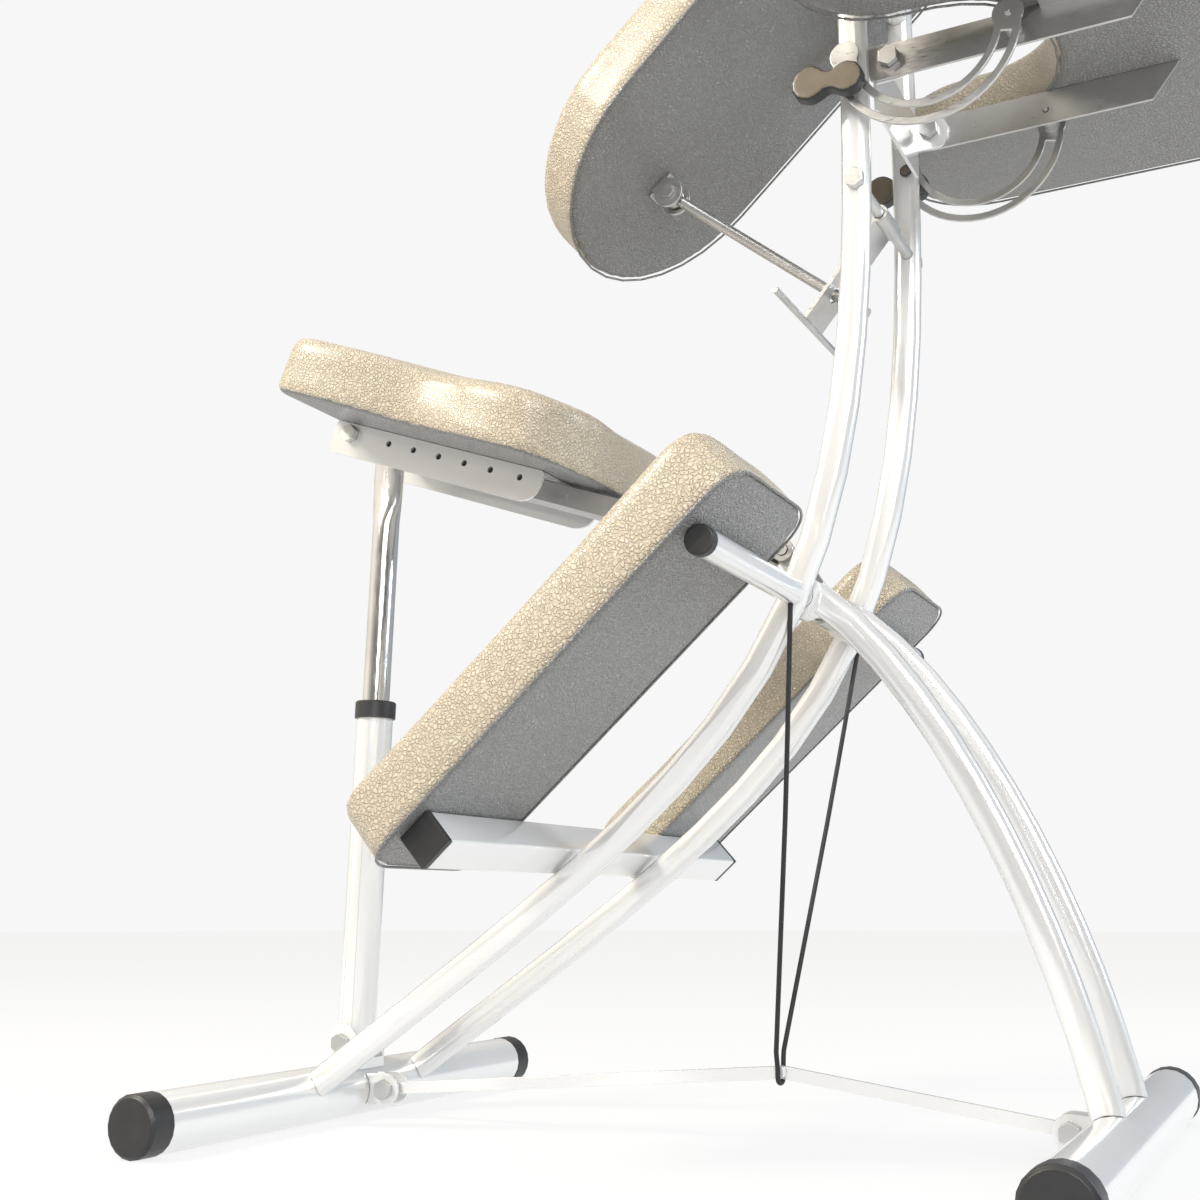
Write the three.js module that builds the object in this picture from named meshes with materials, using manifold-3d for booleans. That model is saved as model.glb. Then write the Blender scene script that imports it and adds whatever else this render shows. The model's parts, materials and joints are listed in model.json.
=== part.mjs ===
// Kneeling massage chair: folding tube frame with knee pads, seat, armrest, chest pad and face cradle.
// Millimetres. +X is across the chair, the sitter faces -Y, +Z is up. The origin is on the floor under
// the middle of the whole chair.
import * as THREE from 'three';
import { mergeVertices } from 'three/addons/utils/BufferGeometryUtils.js';
import Module from 'manifold-3d';

const wasm = await Module();
wasm.setup();

// ---------------------------------------------------------------- driving dimensions
const GAP = 0.3;                 // clearance kept between touching pieces
const PLATE = 2.5;               // thickness of the bent steel plates

const BASE_LENGTH = 480;         // each floor tube over its end caps
const BASE_R = 20;               // floor tube radius
const BASE_WALL = 2;
const BASE_SPREAD = 573;         // rear floor tube to front floor tube
const CAP_WIDTH = 19.5;          // part of an end cap that shows
const CAP_PLUG = 14;             // part of an end cap inside its tube
const CAP_PROUD = 0.5;           // a cap stands this much outside its tube
const BASE_Z = BASE_R + CAP_PROUD;

const FRAME_X = 66;              // centre plane of each main tube
const FRAME_DEEP = 20;           // main tube section, fore and aft
const FRAME_THICK = 15;          // main tube section, across the chair
const FRAME_WALL = 1.8;
const FRAME_ABOVE = 15.33;       // main tubes end this far above the head tube's axis
const FRAME_Y = -448;            // upright stretch of the main tubes
const UPRIGHT_START = 735;       // height where the bend has become the upright stretch
const MAIN_STEPS = 22;
const LEG_X = FRAME_X - FRAME_THICK - 1;   // centre plane of each front leg, inside the main tubes

const KNEE_Y = -394;             // round cross tube: the fold axis of the frame
const KNEE_Z = 363;
const KNEE_R = 9;
const KNEE_WALL = 1.6;
const KNEE_NECK = 6;             // radius where the tube passes through the main tubes
const KNEE_LENGTH = 463;         // over its end caps
const KNEE_CAP = 7;
const SQUARE_SIDE = 25;          // lower, square cross tube
const SQUARE_WALL = 1.8;
const SQUARE_DOWN = 245.5;       // down the knee pads' slope from the round cross tube
const SQUARE_CAP = 5;

const KNEE_PAD_WIDTH = 130;
const KNEE_PAD_LENGTH = 330;
const KNEE_PAD_THICK = 45;
const KNEE_PAD_INNER = 112;      // inner edge of each knee pad from the middle plane
const KNEE_PAD_BELOW = 38;       // pad end below the middle of the square tube

const POST_LEAN = THREE.MathUtils.degToRad(1.85);
const POST_PIVOT_Z = 55;
const POST_LOWER_R = 14.5;
const POST_LOWER_WALL = 2;
const POST_LOWER_LENGTH = 274;
const POST_UPPER_R = 11;
const POST_UPPER_FOOT = 120;     // foot of the upper tube, up the post from the pivot
const COLLAR_R = POST_LOWER_R + 2;
const COLLAR_HEIGHT = 14;
const BOLT_R = 4;                // pivot bolts are M8
const BOLT_HEAD = 5.5;           // height of a hex head
const BOLT_FLATS = 13;           // width of a hex head across its flats
const BOLT_CLEAR = 0.4;          // a bolt in its hole

const SEAT_Y = -10.5;            // seat bolt
const SEAT_Z = 536.5;
const SEAT_TILT = THREE.MathUtils.degToRad(20);
const SEAT_BACK = 29;            // back edge behind the seat bolt
const SEAT_DEPTH = 261;
const SEAT_REAR_HALF = 130;      // half width at the back
const SEAT_WAIST_HALF = 108;     // half width where the thighs leave
const SEAT_FRONT_HALF = 117;     // half width of the nose
const SEAT_THICK = 47;
const BRACKET_HALF = 48;         // half width of the channel under the seat
const BRACKET_LENGTH = 208;
const BRACKET_DROP = 18;         // lower edge of the channel below the bolt line
const BRACKET_RISE = 9.2;        // top of the channel above the bolt line
const HOLE_FIRST = 39.4;         // first spare hole from the seat bolt
const HOLE_PITCH = 25.5;
const HOLE_COUNT = 5;
const HOLE_LAST = 169.2;
const HOLE_R = 2.6;
const RAIL_WIDTH = 36;
const RAIL_HEIGHT = 16;
const RAIL_WALL = 2;
const RAIL_PIVOT = 380.4;        // rail pivot from the seat bolt, down the rail

const ARM_Y = -471;              // armrest pivot bolts
const ARM_Z = 741.7;
const STRIP_X = 56.5;            // centre plane of each armrest strip
const STRIP_HEIGHT = 25.5;
const STRIP_BELOW = 14.7;        // lower edge of a strip below the pivot
const STRIP_REACH = 161;         // lower corner of the pointed end from the pivot
const STRIP_POINT = 20;          // the point runs this much further at the top
const ARM_HALF = 218;            // half width of the armrest
const ARM_FRONT = 262;           // front edge from the pivot
const ARM_REAR = 45;             // back of the side lobes behind the pivot
const ARM_NOTCH_HALF = 86;       // half width of the notch round the frame
const ARM_NOTCH = 104;           // bottom of the notch in front of the pivot
const ARM_THICK = 49;
const BOARD = 8;                 // plywood boards inside the upholstery
const ARC_GAP = 5.25;            // main tube to arc
const ARC_X = FRAME_X + FRAME_THICK / 2 + ARC_GAP + PLATE / 2; // centre plane of each slotted arc
const ARC_R = 56;                // radius of the slot's middle line
const ARC_WIDTH = 18;
const SLOT_WIDTH = 7.6;
const ARC_CENTRE_Y = -501.5;
const ARC_Z = 738;
const STUD_R = 2;                // cam lever stud in the arc's slot
const STUD_ANGLE = THREE.MathUtils.degToRad(-24);
const LEVER_LENGTH = 29;         // between the middles of its two lobes

const PAD_SLOPE = THREE.MathUtils.degToRad(42);   // chest pad
const KNEE_SLOPE = THREE.MathUtils.degToRad(41.7);
const CHEST_BACK = 352.4;        // chest pad's back plane from the origin line
const CHEST_LOW = 596;           // rounded lower end, measured up the slope
const CHEST_LENGTH = 392;
const CHEST_HALF = 115;
const CHEST_THICK = 45;
const HEAD_R = 8;                // head tube between the tops of the main tubes
const HEAD_DROP = 20;            // head tube's axis under the chest pad
const CLEVIS_OUT = 13;           // strut pivot under the chest pad
const CLEVIS_UP = 680.3;         // strut pivot up the slope
const STRUT_R = 4.2;
const STRUT_LENGTH = 200;
const BRAKE_Y = FRAME_Y;           // brake plate's pivot rod
const BRAKE_Z = 647;
const BRAKE_ROD_R = 4;
const BRAKE_LENGTH = 92;
const BRAKE_HALF = 18;
const BRAKE_HOLE = 62.5;         // strut hole from the pivot rod
const RELEASE_HALF = 80;
const RELEASE_R = 2.4;

const CRADLE_X = 46;             // face cradle rods
const CRADLE_ROD_R = 5;
const CRADLE_OUT = 118;          // rods stand this far out of the chest pad's end
const CRADLE_OUTER = 142;        // face cushion, outer radius
const CRADLE_INNER = 62;
const CRADLE_THICK = 44;
const CRADLE_OPEN = THREE.MathUtils.degToRad(40);   // half of the cushion's opening
const CRADLE_TILT = THREE.MathUtils.degToRad(14);

const STRAP_FRONT_IN = 32.5;      // front strap pivot behind the front tube's axis
const STRAP_REAR = [-34, 21.5];  // strap pivots, fore and aft and up
const STRAP_SPLIT = 0.6126;      // middle hinge, as a share of the way to the front tube
const STRAP_MID = [-STRAP_SPLIT * BASE_SPREAD, 48.5];
const STRAP_FRONT = [STRAP_FRONT_IN - BASE_SPREAD, 22.5];
const STRAP_HEIGHT = 8.5;
const STRAP_THICK = 3;
const CORD_R = 1.7;

// ---------------------------------------------------------------- finishes
const finish = (color, roughness, metalness) =>
  new THREE.MeshStandardMaterial({ color, roughness, metalness });
const WHITE = finish(0xf0f0ec, 0.28, 0.0);
const STEEL = finish(0xc9c9c6, 0.3, 0.9);
const ZINC = finish(0xb9bab8, 0.35, 0.9);
const BLACK = finish(0x17181a, 0.5, 0.0);
const HIDE = finish(0xc8b89a, 0.5, 0.0);
const BACKING = finish(0x8f8c84, 0.6, 0.0);
const CORD = finish(0x101112, 0.8, 0.0);

// ---------------------------------------------------------------- solids
function toSolid(geometry) {
  const bare = geometry.clone();
  bare.deleteAttribute('normal');
  bare.deleteAttribute('uv');
  const merged = mergeVertices(bare, 1e-4);
  return new wasm.Manifold(new wasm.Mesh({
    numProp: 3,
    vertProperties: new Float32Array(merged.attributes.position.array),
    triVerts: new Uint32Array(merged.index.array),
  }));
}

function toGeometry(solid) {
  const mesh = solid.getMesh();
  const geometry = new THREE.BufferGeometry();
  geometry.setAttribute('position', new THREE.BufferAttribute(mesh.vertProperties, 3));
  geometry.setIndex(new THREE.BufferAttribute(mesh.triVerts, 1));
  geometry.computeVertexNormals();
  return geometry;
}

function join(first, ...others) {
  return toGeometry(others.reduce((sum, g) => sum.add(toSolid(g)), toSolid(first)));
}

function cut(first, ...others) {
  return toGeometry(others.reduce((sum, g) => sum.subtract(toSolid(g)), toSolid(first)));
}

function keep(first, other) {
  return toGeometry(toSolid(first).intersect(toSolid(other)));
}

// A box between two corners, given in either order.
function box(x0, x1, y0, y1, z0, z1) {
  const g = new THREE.BoxGeometry(Math.abs(x1 - x0), Math.abs(y1 - y0), Math.abs(z1 - z0));
  return g.translate((x0 + x1) / 2, (y0 + y1) / 2, (z0 + z1) / 2);
}

// A round bar across the chair.
function barX(r, x0, x1, y, z, sides = 16) {
  const g = new THREE.CylinderGeometry(r, r, x1 - x0, sides);
  return g.rotateZ(Math.PI / 2).translate((x0 + x1) / 2, y, z);
}

// A hexagon across the chair, for bolt heads and nuts.
function hexX(x0, x1, y, z) {
  return barX(BOLT_FLATS / Math.sqrt(3), x0, x1, y, z, 6);
}

// Turns shapes drawn in (fore-aft, up) into plates that lie across the chair from x0 to x1.
const ACROSS = new THREE.Matrix4().makeBasis(
  new THREE.Vector3(0, 1, 0), new THREE.Vector3(0, 0, 1), new THREE.Vector3(1, 0, 0));

function plateX(shape, x0, x1, curveSegments = 6) {
  const g = new THREE.ExtrudeGeometry(shape, { depth: x1 - x0, bevelEnabled: false, curveSegments });
  return g.applyMatrix4(ACROSS).translate(x0, 0, 0);
}

function ringHole(y, z, r) {
  return new THREE.Path().absarc(y, z, r, 0, 2 * Math.PI, true);
}

// A closed outline through rounded corners: points are [a, b, radius].
function roundedShape(points) {
  const shape = new THREE.Shape();
  points.forEach(([a, b, r = 0], i) => {
    const here = new THREE.Vector2(a, b);
    const before = new THREE.Vector2(...points[(i + points.length - 1) % points.length]);
    const after = new THREE.Vector2(...points[(i + 1) % points.length]);
    const back = before.sub(here).normalize();
    const on = after.sub(here).normalize();
    const reach = r / Math.tan(Math.acos(THREE.MathUtils.clamp(back.dot(on), -1, 1)) / 2);
    const enter = here.clone().addScaledVector(back, reach);
    const leave = here.clone().addScaledVector(on, reach);
    if (i === 0) shape.moveTo(enter.x, enter.y);
    else shape.lineTo(enter.x, enter.y);
    if (r > 0) shape.quadraticCurveTo(here.x, here.y, leave.x, leave.y);
  });
  shape.closePath();
  return shape;
}

// A link between two pivots with round ends.
function linkShape([y0, z0], [y1, z1], r) {
  const angle = Math.atan2(z1 - z0, y1 - y0);
  const shape = new THREE.Shape();
  shape.absarc(y1, z1, r, angle - Math.PI / 2, angle + Math.PI / 2, false);
  shape.absarc(y0, z0, r, angle + Math.PI / 2, angle + 1.5 * Math.PI, false);
  shape.closePath();
  return shape;
}

function ovalShape(wide, deep, wall, sides = 12) {
  const ring = (w, d, Kind) => {
    const points = [];
    for (let i = 0; i < sides; i += 1) {
      const t = (2 * Math.PI * (i + 0.5)) / sides;
      const c = Math.cos(t);
      const s = Math.sin(t);
      const round = 0.7;          // 1 is an ellipse, smaller is squarer
      points.push(new THREE.Vector2(
        (w / 2) * Math.sign(c) * Math.abs(c) ** round, (d / 2) * Math.sign(s) * Math.abs(s) ** round));
    }
    return new Kind(points);
  };
  const outer = ring(wide, deep, THREE.Shape);
  if (wall > 0) outer.holes.push(ring(wide - 2 * wall, deep - 2 * wall, THREE.Path));
  return outer;
}

// A tube swept along a curve.
function sweep(curve, shape, steps) {
  return new THREE.ExtrudeGeometry(shape, { extrudePath: curve, steps, bevelEnabled: false });
}

function hollowBar(outerR, wall, x0, x1, y, z, sides = 20) {
  const shape = new THREE.Shape().absarc(y, z, outerR, 0, 2 * Math.PI, false);
  shape.holes.push(ringHole(y, z, outerR - wall));
  return plateX(shape, x0, x1, sides / 2);
}

// A hex bolt across the chair: shank, head and nut, outside the two faces it clamps.
function crossBolt(half, y, z, r = BOLT_R) {
  const inside = half + GAP;
  return join(
    barX(r, -inside - BOLT_HEAD / 2, inside + BOLT_HEAD / 2, y, z),
    hexX(-inside - BOLT_HEAD, -inside, y, z),
    hexX(inside, inside + BOLT_HEAD, y, z));
}

// ---------------------------------------------------------------- assembly
const chair = new THREE.Group();

function part(name, geometry, material, parent = chair) {
  const mesh = new THREE.Mesh(geometry, material);
  mesh.name = name;
  parent.add(mesh);
  return mesh;
}

const SIDES = [['left', -1], ['right', 1]];

// A plane through (y, z) that slopes up and forward; returns its group.
function slopeGroup(y, z, slope) {
  const group = new THREE.Group();
  group.position.set(0, y, z);
  group.rotation.x = -slope;
  chair.add(group);
  return group;
}

// ---------------------------------------------------------------- floor tubes and caps
function baseTube(name, y) {
  const half = BASE_LENGTH / 2 - CAP_WIDTH - GAP;
  part(name, hollowBar(BASE_R, BASE_WALL, -half, half, y, BASE_Z), WHITE);
}

function roundCap(name, side, halfLength, tubeR, wall, width, plug, y, z) {
  const face = halfLength;
  const shoulder = halfLength - width;
  const outer = tubeR + CAP_PROUD;
  const edge = width * 0.12;
  const profile = [
    [0, face], [outer - edge, face], [outer, face - edge], [outer, shoulder],
    [tubeR - wall - GAP, shoulder], [tubeR - wall - GAP, shoulder - plug], [0, shoulder - plug],
  ].map(([r, h]) => new THREE.Vector2(r, h)).reverse();
  const g = new THREE.LatheGeometry(profile, 20);
  g.rotateZ(side > 0 ? -Math.PI / 2 : Math.PI / 2).translate(0, y, z);
  part(name, g, BLACK);
}

function floorTubes() {
  baseTube('rear_base_tube', 0);
  baseTube('front_base_tube', -BASE_SPREAD);
  for (const [word, side] of SIDES) {
    for (const [end, y] of [['rear', 0], ['front', -BASE_SPREAD]]) {
      roundCap(`${end}_cap_${word}`, side, BASE_LENGTH / 2, BASE_R, BASE_WALL, CAP_WIDTH, CAP_PLUG,
        y, BASE_Z);
    }
  }
}

// ---------------------------------------------------------------- main tubes and front legs
function mainCurve(x) {
  const path = new THREE.CurvePath();
  const foot = new THREE.Vector3(x, 0, BASE_Z);
  const top = new THREE.Vector3(x, FRAME_Y, UPRIGHT_START);
  const bend = new THREE.CubicBezierCurve3(
    foot, new THREE.Vector3(x, -360.6, 268), new THREE.Vector3(x, FRAME_Y, 294), top);
  path.add(bend);
  path.add(new THREE.LineCurve3(top, new THREE.Vector3(x, FRAME_Y, headZ() + FRAME_ABOVE)));
  return path;
}

function legCurve(x) {
  return new THREE.CubicBezierCurve3(
    new THREE.Vector3(x, KNEE_Y - 9, KNEE_Z + 1),
    new THREE.Vector3(x, KNEE_Y - 95, KNEE_Z - 69),
    new THREE.Vector3(x, -BASE_SPREAD + 20, 134),
    new THREE.Vector3(x, -BASE_SPREAD, BASE_Z));
}

function mainTubes() {
  const section = ovalShape(FRAME_THICK, FRAME_DEEP, FRAME_WALL);
  for (const [word, side] of SIDES) {
    const x = side * FRAME_X;
    const reach = FRAME_THICK;
    const tube = cut(
      sweep(mainCurve(x), section, MAIN_STEPS),
      barX(BASE_R + GAP, x - reach, x + reach, 0, BASE_Z, 32),
      barX(KNEE_NECK + GAP, x - reach, x + reach, KNEE_Y, KNEE_Z, 16),
      barX(BRAKE_ROD_R + GAP, x - reach, x + reach, BRAKE_Y, BRAKE_Z, 12),
      barX(HEAD_R + GAP, x - reach, x + reach, FRAME_Y, headZ(), 20),
      barX(STUD_R + GAP, x - reach, x + reach, studY(), studZ(), 12));
    part(`main_tube_${word}`, tube, WHITE);
  }
}

function frontLegs() {
  const section = ovalShape(FRAME_THICK, FRAME_DEEP, FRAME_WALL);
  for (const [word, side] of SIDES) {
    const x = side * LEG_X;
    const inner = x - FRAME_THICK / 2;
    const outer = x + FRAME_THICK / 2;
    const eyeR = FRAME_DEEP / 2 + 5;
    const leg = cut(
      join(sweep(legCurve(x), section, 12), barX(eyeR, inner, outer, KNEE_Y, KNEE_Z, 24)),
      barX(BASE_R + GAP, inner - 5, outer + 5, -BASE_SPREAD, BASE_Z, 32),
      barX(KNEE_R + GAP, inner - 5, outer + 5, KNEE_Y, KNEE_Z, 20));
    part(`front_leg_${word}`, leg, WHITE);
  }
}

// ---------------------------------------------------------------- cross tubes for the knee pads
function kneeCrossTube() {
  const half = KNEE_LENGTH / 2 - KNEE_CAP - GAP;
  const inner = FRAME_X - FRAME_THICK / 2 - GAP;
  const outer = FRAME_X + FRAME_THICK / 2 + GAP;
  const plug = 6;                  // closed inner end of each outer stretch
  const at = [KNEE_Y, KNEE_Z];
  part('knee_cross_tube', join(
    barX(KNEE_R, -inner, inner, ...at, 20), barX(KNEE_NECK, -outer - 1, outer + 1, ...at, 16),
    hollowBar(KNEE_R, KNEE_WALL, -half, -outer, ...at), barX(KNEE_R - 1, -outer - plug, -outer, ...at, 20),
    hollowBar(KNEE_R, KNEE_WALL, outer, half, ...at), barX(KNEE_R - 1, outer, outer + plug, ...at, 20)),
  WHITE);
  for (const [word, side] of SIDES) {
    roundCap(`knee_cross_cap_${word}`, side, KNEE_LENGTH / 2, KNEE_R, KNEE_WALL, KNEE_CAP, KNEE_CAP,
      KNEE_Y, KNEE_Z);
  }
}

// The square tube's middle: its top face is level with the round tube's, along the slope.
function squareCentre() {
  const c = Math.cos(KNEE_SLOPE);
  const s = Math.sin(KNEE_SLOPE);
  const drop = SQUARE_SIDE / 2 - KNEE_R - CAP_PROUD;
  return [KNEE_Y + SQUARE_DOWN * c - drop * s, KNEE_Z - SQUARE_DOWN * s - drop * c];
}

function squareTube() {
  const [centreY, centreZ] = squareCentre();
  const group = slopeGroup(centreY, centreZ, KNEE_SLOPE);
  const half = KNEE_LENGTH / 2 - SQUARE_CAP - GAP;
  const s = SQUARE_SIDE / 2;
  const w = s - SQUARE_WALL;
  const outline = roundedShape([[-s, -s, 2], [s, -s, 2], [s, s, 2], [-s, s, 2]]);
  outline.holes.push(new THREE.Path([[-w, -w], [-w, w], [w, w], [w, -w]]
    .map(([a, b]) => new THREE.Vector2(a, b))));
  const tube = plateX(outline, -half, half, 3);
  // The tube is notched where it lies on the main tubes.
  const notches = SIDES.map(([, side]) => {
    const notch = sweep(mainCurve(side * FRAME_X), ovalShape(
      FRAME_THICK + 2 * GAP, FRAME_DEEP + 2 * GAP, 0), MAIN_STEPS);
    return notch.translate(0, -centreY, -centreZ).rotateX(KNEE_SLOPE);
  });
  part('knee_square_tube', cut(tube, ...notches), WHITE, group);
  for (const [word, side] of SIDES) {
    const plug = w - GAP;
    const face = box(0, SQUARE_CAP, -s, s, -s, s);
    const inner = box(-CAP_PLUG, 1, -plug, plug, -plug, plug);
    const cap = join(face, inner);
    if (side < 0) cap.rotateZ(Math.PI);
    cap.translate(side * (half + GAP), 0, 0);
    part(`knee_square_cap_${word}`, cap, BLACK, group);
  }
}

// ---------------------------------------------------------------- upholstered pads
// A pad outline (across, along) raised from its back plane, with softened edges at the front.
function padSolid(outline, thick, soft, curveSegments = 10) {
  const g = new THREE.ExtrudeGeometry(outline, {
    depth: thick - soft, bevelEnabled: true, bevelThickness: soft, bevelSize: soft,
    bevelOffset: -soft, bevelSegments: 3, curveSegments,
  });
  // The back bevel is cut off so that the back is flat.
  return keep(g, box(-1000, 1000, -1000, 1000, 0, thick + 1));
}

// A board let into the back of its pad: returns [pad, board], both standing on the plane z.
function paddedBoard(outlineAt, inset, thick, z, soft = 9, curveSegments = 8) {
  const board = new THREE.ExtrudeGeometry(outlineAt(inset), {
    depth: BOARD, bevelEnabled: false, curveSegments });
  const pocket = new THREE.ExtrudeGeometry(outlineAt(inset - GAP), {
    depth: BOARD + 2 * GAP, bevelEnabled: false, curveSegments }).translate(0, 0, -GAP);
  const pad = cut(padSolid(outlineAt(0), thick, soft, curveSegments), pocket);
  return [pad.translate(0, 0, z), board.translate(0, 0, z)];
}

function kneePads() {
  const group = slopeGroup(...squareCentre(), KNEE_SLOPE);
  const low = KNEE_PAD_BELOW;
  const high = low - KNEE_PAD_LENGTH;
  for (const [word, side] of SIDES) {
    const a = side * KNEE_PAD_INNER;
    const b = side * (KNEE_PAD_INNER + KNEE_PAD_WIDTH);
    const [x0, x1] = [Math.min(a, b), Math.max(a, b)];
    const outline = roundedShape([[x0, high, 28], [x1, high, 28], [x1, low, 28], [x0, low, 28]]);
    const pad = padSolid(outline, KNEE_PAD_THICK, 8).translate(0, 0, SQUARE_SIDE / 2 + GAP);
    part(`knee_pad_${word}`, pad, HIDE, group);
  }
}

// ---------------------------------------------------------------- folding strap and elastic cord
function strapBracket(name, [y, z], baseY) {
  const ear = linkShape([y, z], [baseY, BASE_Z], 11.5);
  const inner = 2 * STRAP_THICK;
  const plates = [-1, 1].map((side) => {
    const edges = [side * inner, side * (inner + PLATE)].sort((p, q) => p - q);
    return plateX(ear, ...edges);
  });
  // A short web joins the two ears against the floor tube.
  const lean = Math.sign(y - baseY);
  const web = box(-inner - 1, inner + 1, baseY, baseY + lean * (BASE_R + 4), BASE_Z - 6, BASE_Z + 6);
  part(name, cut(
    join(plates[0], plates[1], web),
    barX(BASE_R + GAP, -20, 20, baseY, BASE_Z, 32),
    barX(BOLT_R * 0.75 + BOLT_CLEAR, -20, 20, y, z, 16)), WHITE);
}

function strap() {
  strapBracket('strap_rear_bracket', STRAP_REAR, 0);
  strapBracket('strap_front_bracket', STRAP_FRONT, -BASE_SPREAD);
  const boltR = BOLT_R * 0.75;
  const half = 2 * STRAP_THICK + PLATE;
  part('strap_rear_bolt', crossBolt(half, ...STRAP_REAR, boltR), ZINC);
  part('strap_front_bolt', crossBolt(half, ...STRAP_FRONT, boltR), ZINC);
  const bars = [
    ['strap_rear_bar', STRAP_REAR, STRAP_MID, -1],
    ['strap_front_bar', STRAP_FRONT, STRAP_MID, 1],
  ];
  for (const [name, from, to, side] of bars) {
    const shape = linkShape(from, to, STRAP_HEIGHT / 2);
    const [x0, x1] = [side * GAP, side * (STRAP_THICK + GAP)].sort((p, q) => p - q);
    const eye = barX(STRAP_HEIGHT * 0.7, x0, x1, ...from, 20);
    part(name, cut(join(plateX(shape, x0, x1), eye), barX(boltR + BOLT_CLEAR, -9, 9, ...from, 16)), WHITE);
  }
}

// A smooth curve sampled evenly between its points, so that a short loop keeps its shape.
class PointwiseCurve extends THREE.CatmullRomCurve3 {
  getUtoTmapping(u) {
    return u;
  }
}

// The elastic cord hangs from the cross tube, outside each main tube, and loops under the strap's hinge.
function elasticCord() {
  const topX = FRAME_X + FRAME_THICK / 2 + 3.5;
  const topZ = KNEE_Z - KNEE_R - CORD_R - GAP;
  const [midY, midZ] = STRAP_MID;
  const lowX = STRAP_THICK + CORD_R + 3 * GAP;
  const under = STRAP_HEIGHT / 2 + CORD_R + 2 * GAP;
  const midway = [0.57 * topX, midY + 0.55 * (KNEE_Y - midY), midZ + 0.55 * (topZ - midZ)];
  // One side from the tube down to the loop; the other side mirrors it.
  const down = [
    [topX, KNEE_Y, topZ], midway, [lowX + 2, midY, midZ + 14], [lowX, midY, midZ + 3],
    [lowX, midY, midZ - 3], [lowX * 0.72, midY, midZ - under + 0.6],
  ];
  const mirrored = down.map(([x, y, z]) => [-x, y, z]).reverse();
  const points = [...down, [0, midY, midZ - under - 0.5], ...mirrored]
    .map((p) => new THREE.Vector3(...p));
  const curve = new PointwiseCurve(points, false, 'centripetal');
  const section = new THREE.Shape().absarc(0, 0, CORD_R, 0, 2 * Math.PI, false);
  const g = new THREE.ExtrudeGeometry(section, {
    extrudePath: curve, steps: 48, bevelEnabled: false, curveSegments: 4,
  });
  part('elastic_cord', g, CORD);
}

// ---------------------------------------------------------------- seat post
function postBracket() {
  const inner = POST_LOWER_R + 1.5;
  const width = 14;
  const tab = new THREE.Shape();
  tab.moveTo(-width, BASE_Z);
  tab.lineTo(width, BASE_Z);
  tab.absarc(0, POST_PIVOT_Z, width, 0, Math.PI, false);
  tab.closePath();
  const web = box(-inner - 1, inner + 1, -width, width, BASE_Z, BASE_Z + BASE_R + 2.5);
  part('post_bracket', cut(
    join(plateX(tab, -inner - PLATE, -inner), plateX(tab, inner, inner + PLATE), web),
    barX(BASE_R + GAP, -40, 40, 0, BASE_Z, 32),
    barX(BOLT_R + BOLT_CLEAR, -40, 40, 0, POST_PIVOT_Z)), WHITE);
  part('post_bolt', crossBolt(inner + PLATE, 0, POST_PIVOT_Z), ZINC);
}

// An upright tube from height z0 to z1 in the post's own frame.
function uprightTube(outerR, innerR, z0, z1, sides = 20) {
  const shape = new THREE.Shape().absarc(0, 0, outerR, 0, 2 * Math.PI, false);
  if (innerR > 0) shape.holes.push(ringHole(0, 0, innerR));
  const g = new THREE.ExtrudeGeometry(shape, {
    depth: z1 - z0, bevelEnabled: false, curveSegments: sides / 2 });
  return g.translate(0, 0, z0);
}

// The upper tube is pressed flat at its top so that the seat bolt can cross it.
function upperPost(length) {
  const tongue = 42;               // flattened stretch at the top
  const taper = 40;
  const flat = 4;                  // half thickness of the tongue
  const wide = 15;                 // half width of the tongue
  const g = new THREE.CylinderGeometry(POST_UPPER_R, POST_UPPER_R, length, 16, 20).rotateX(Math.PI / 2);
  g.translate(0, 0, POST_UPPER_FOOT + length / 2);
  const top = POST_UPPER_FOOT + length;
  const p = g.attributes.position;
  for (let i = 0; i < p.count; i += 1) {
    const into = THREE.MathUtils.smoothstep(p.getZ(i), top - tongue - taper, top - tongue);
    p.setX(i, p.getX(i) * THREE.MathUtils.lerp(1, flat / POST_UPPER_R, into));
    p.setY(i, p.getY(i) * THREE.MathUtils.lerp(1, wide / POST_UPPER_R, into));
  }
  return g;
}

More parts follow.
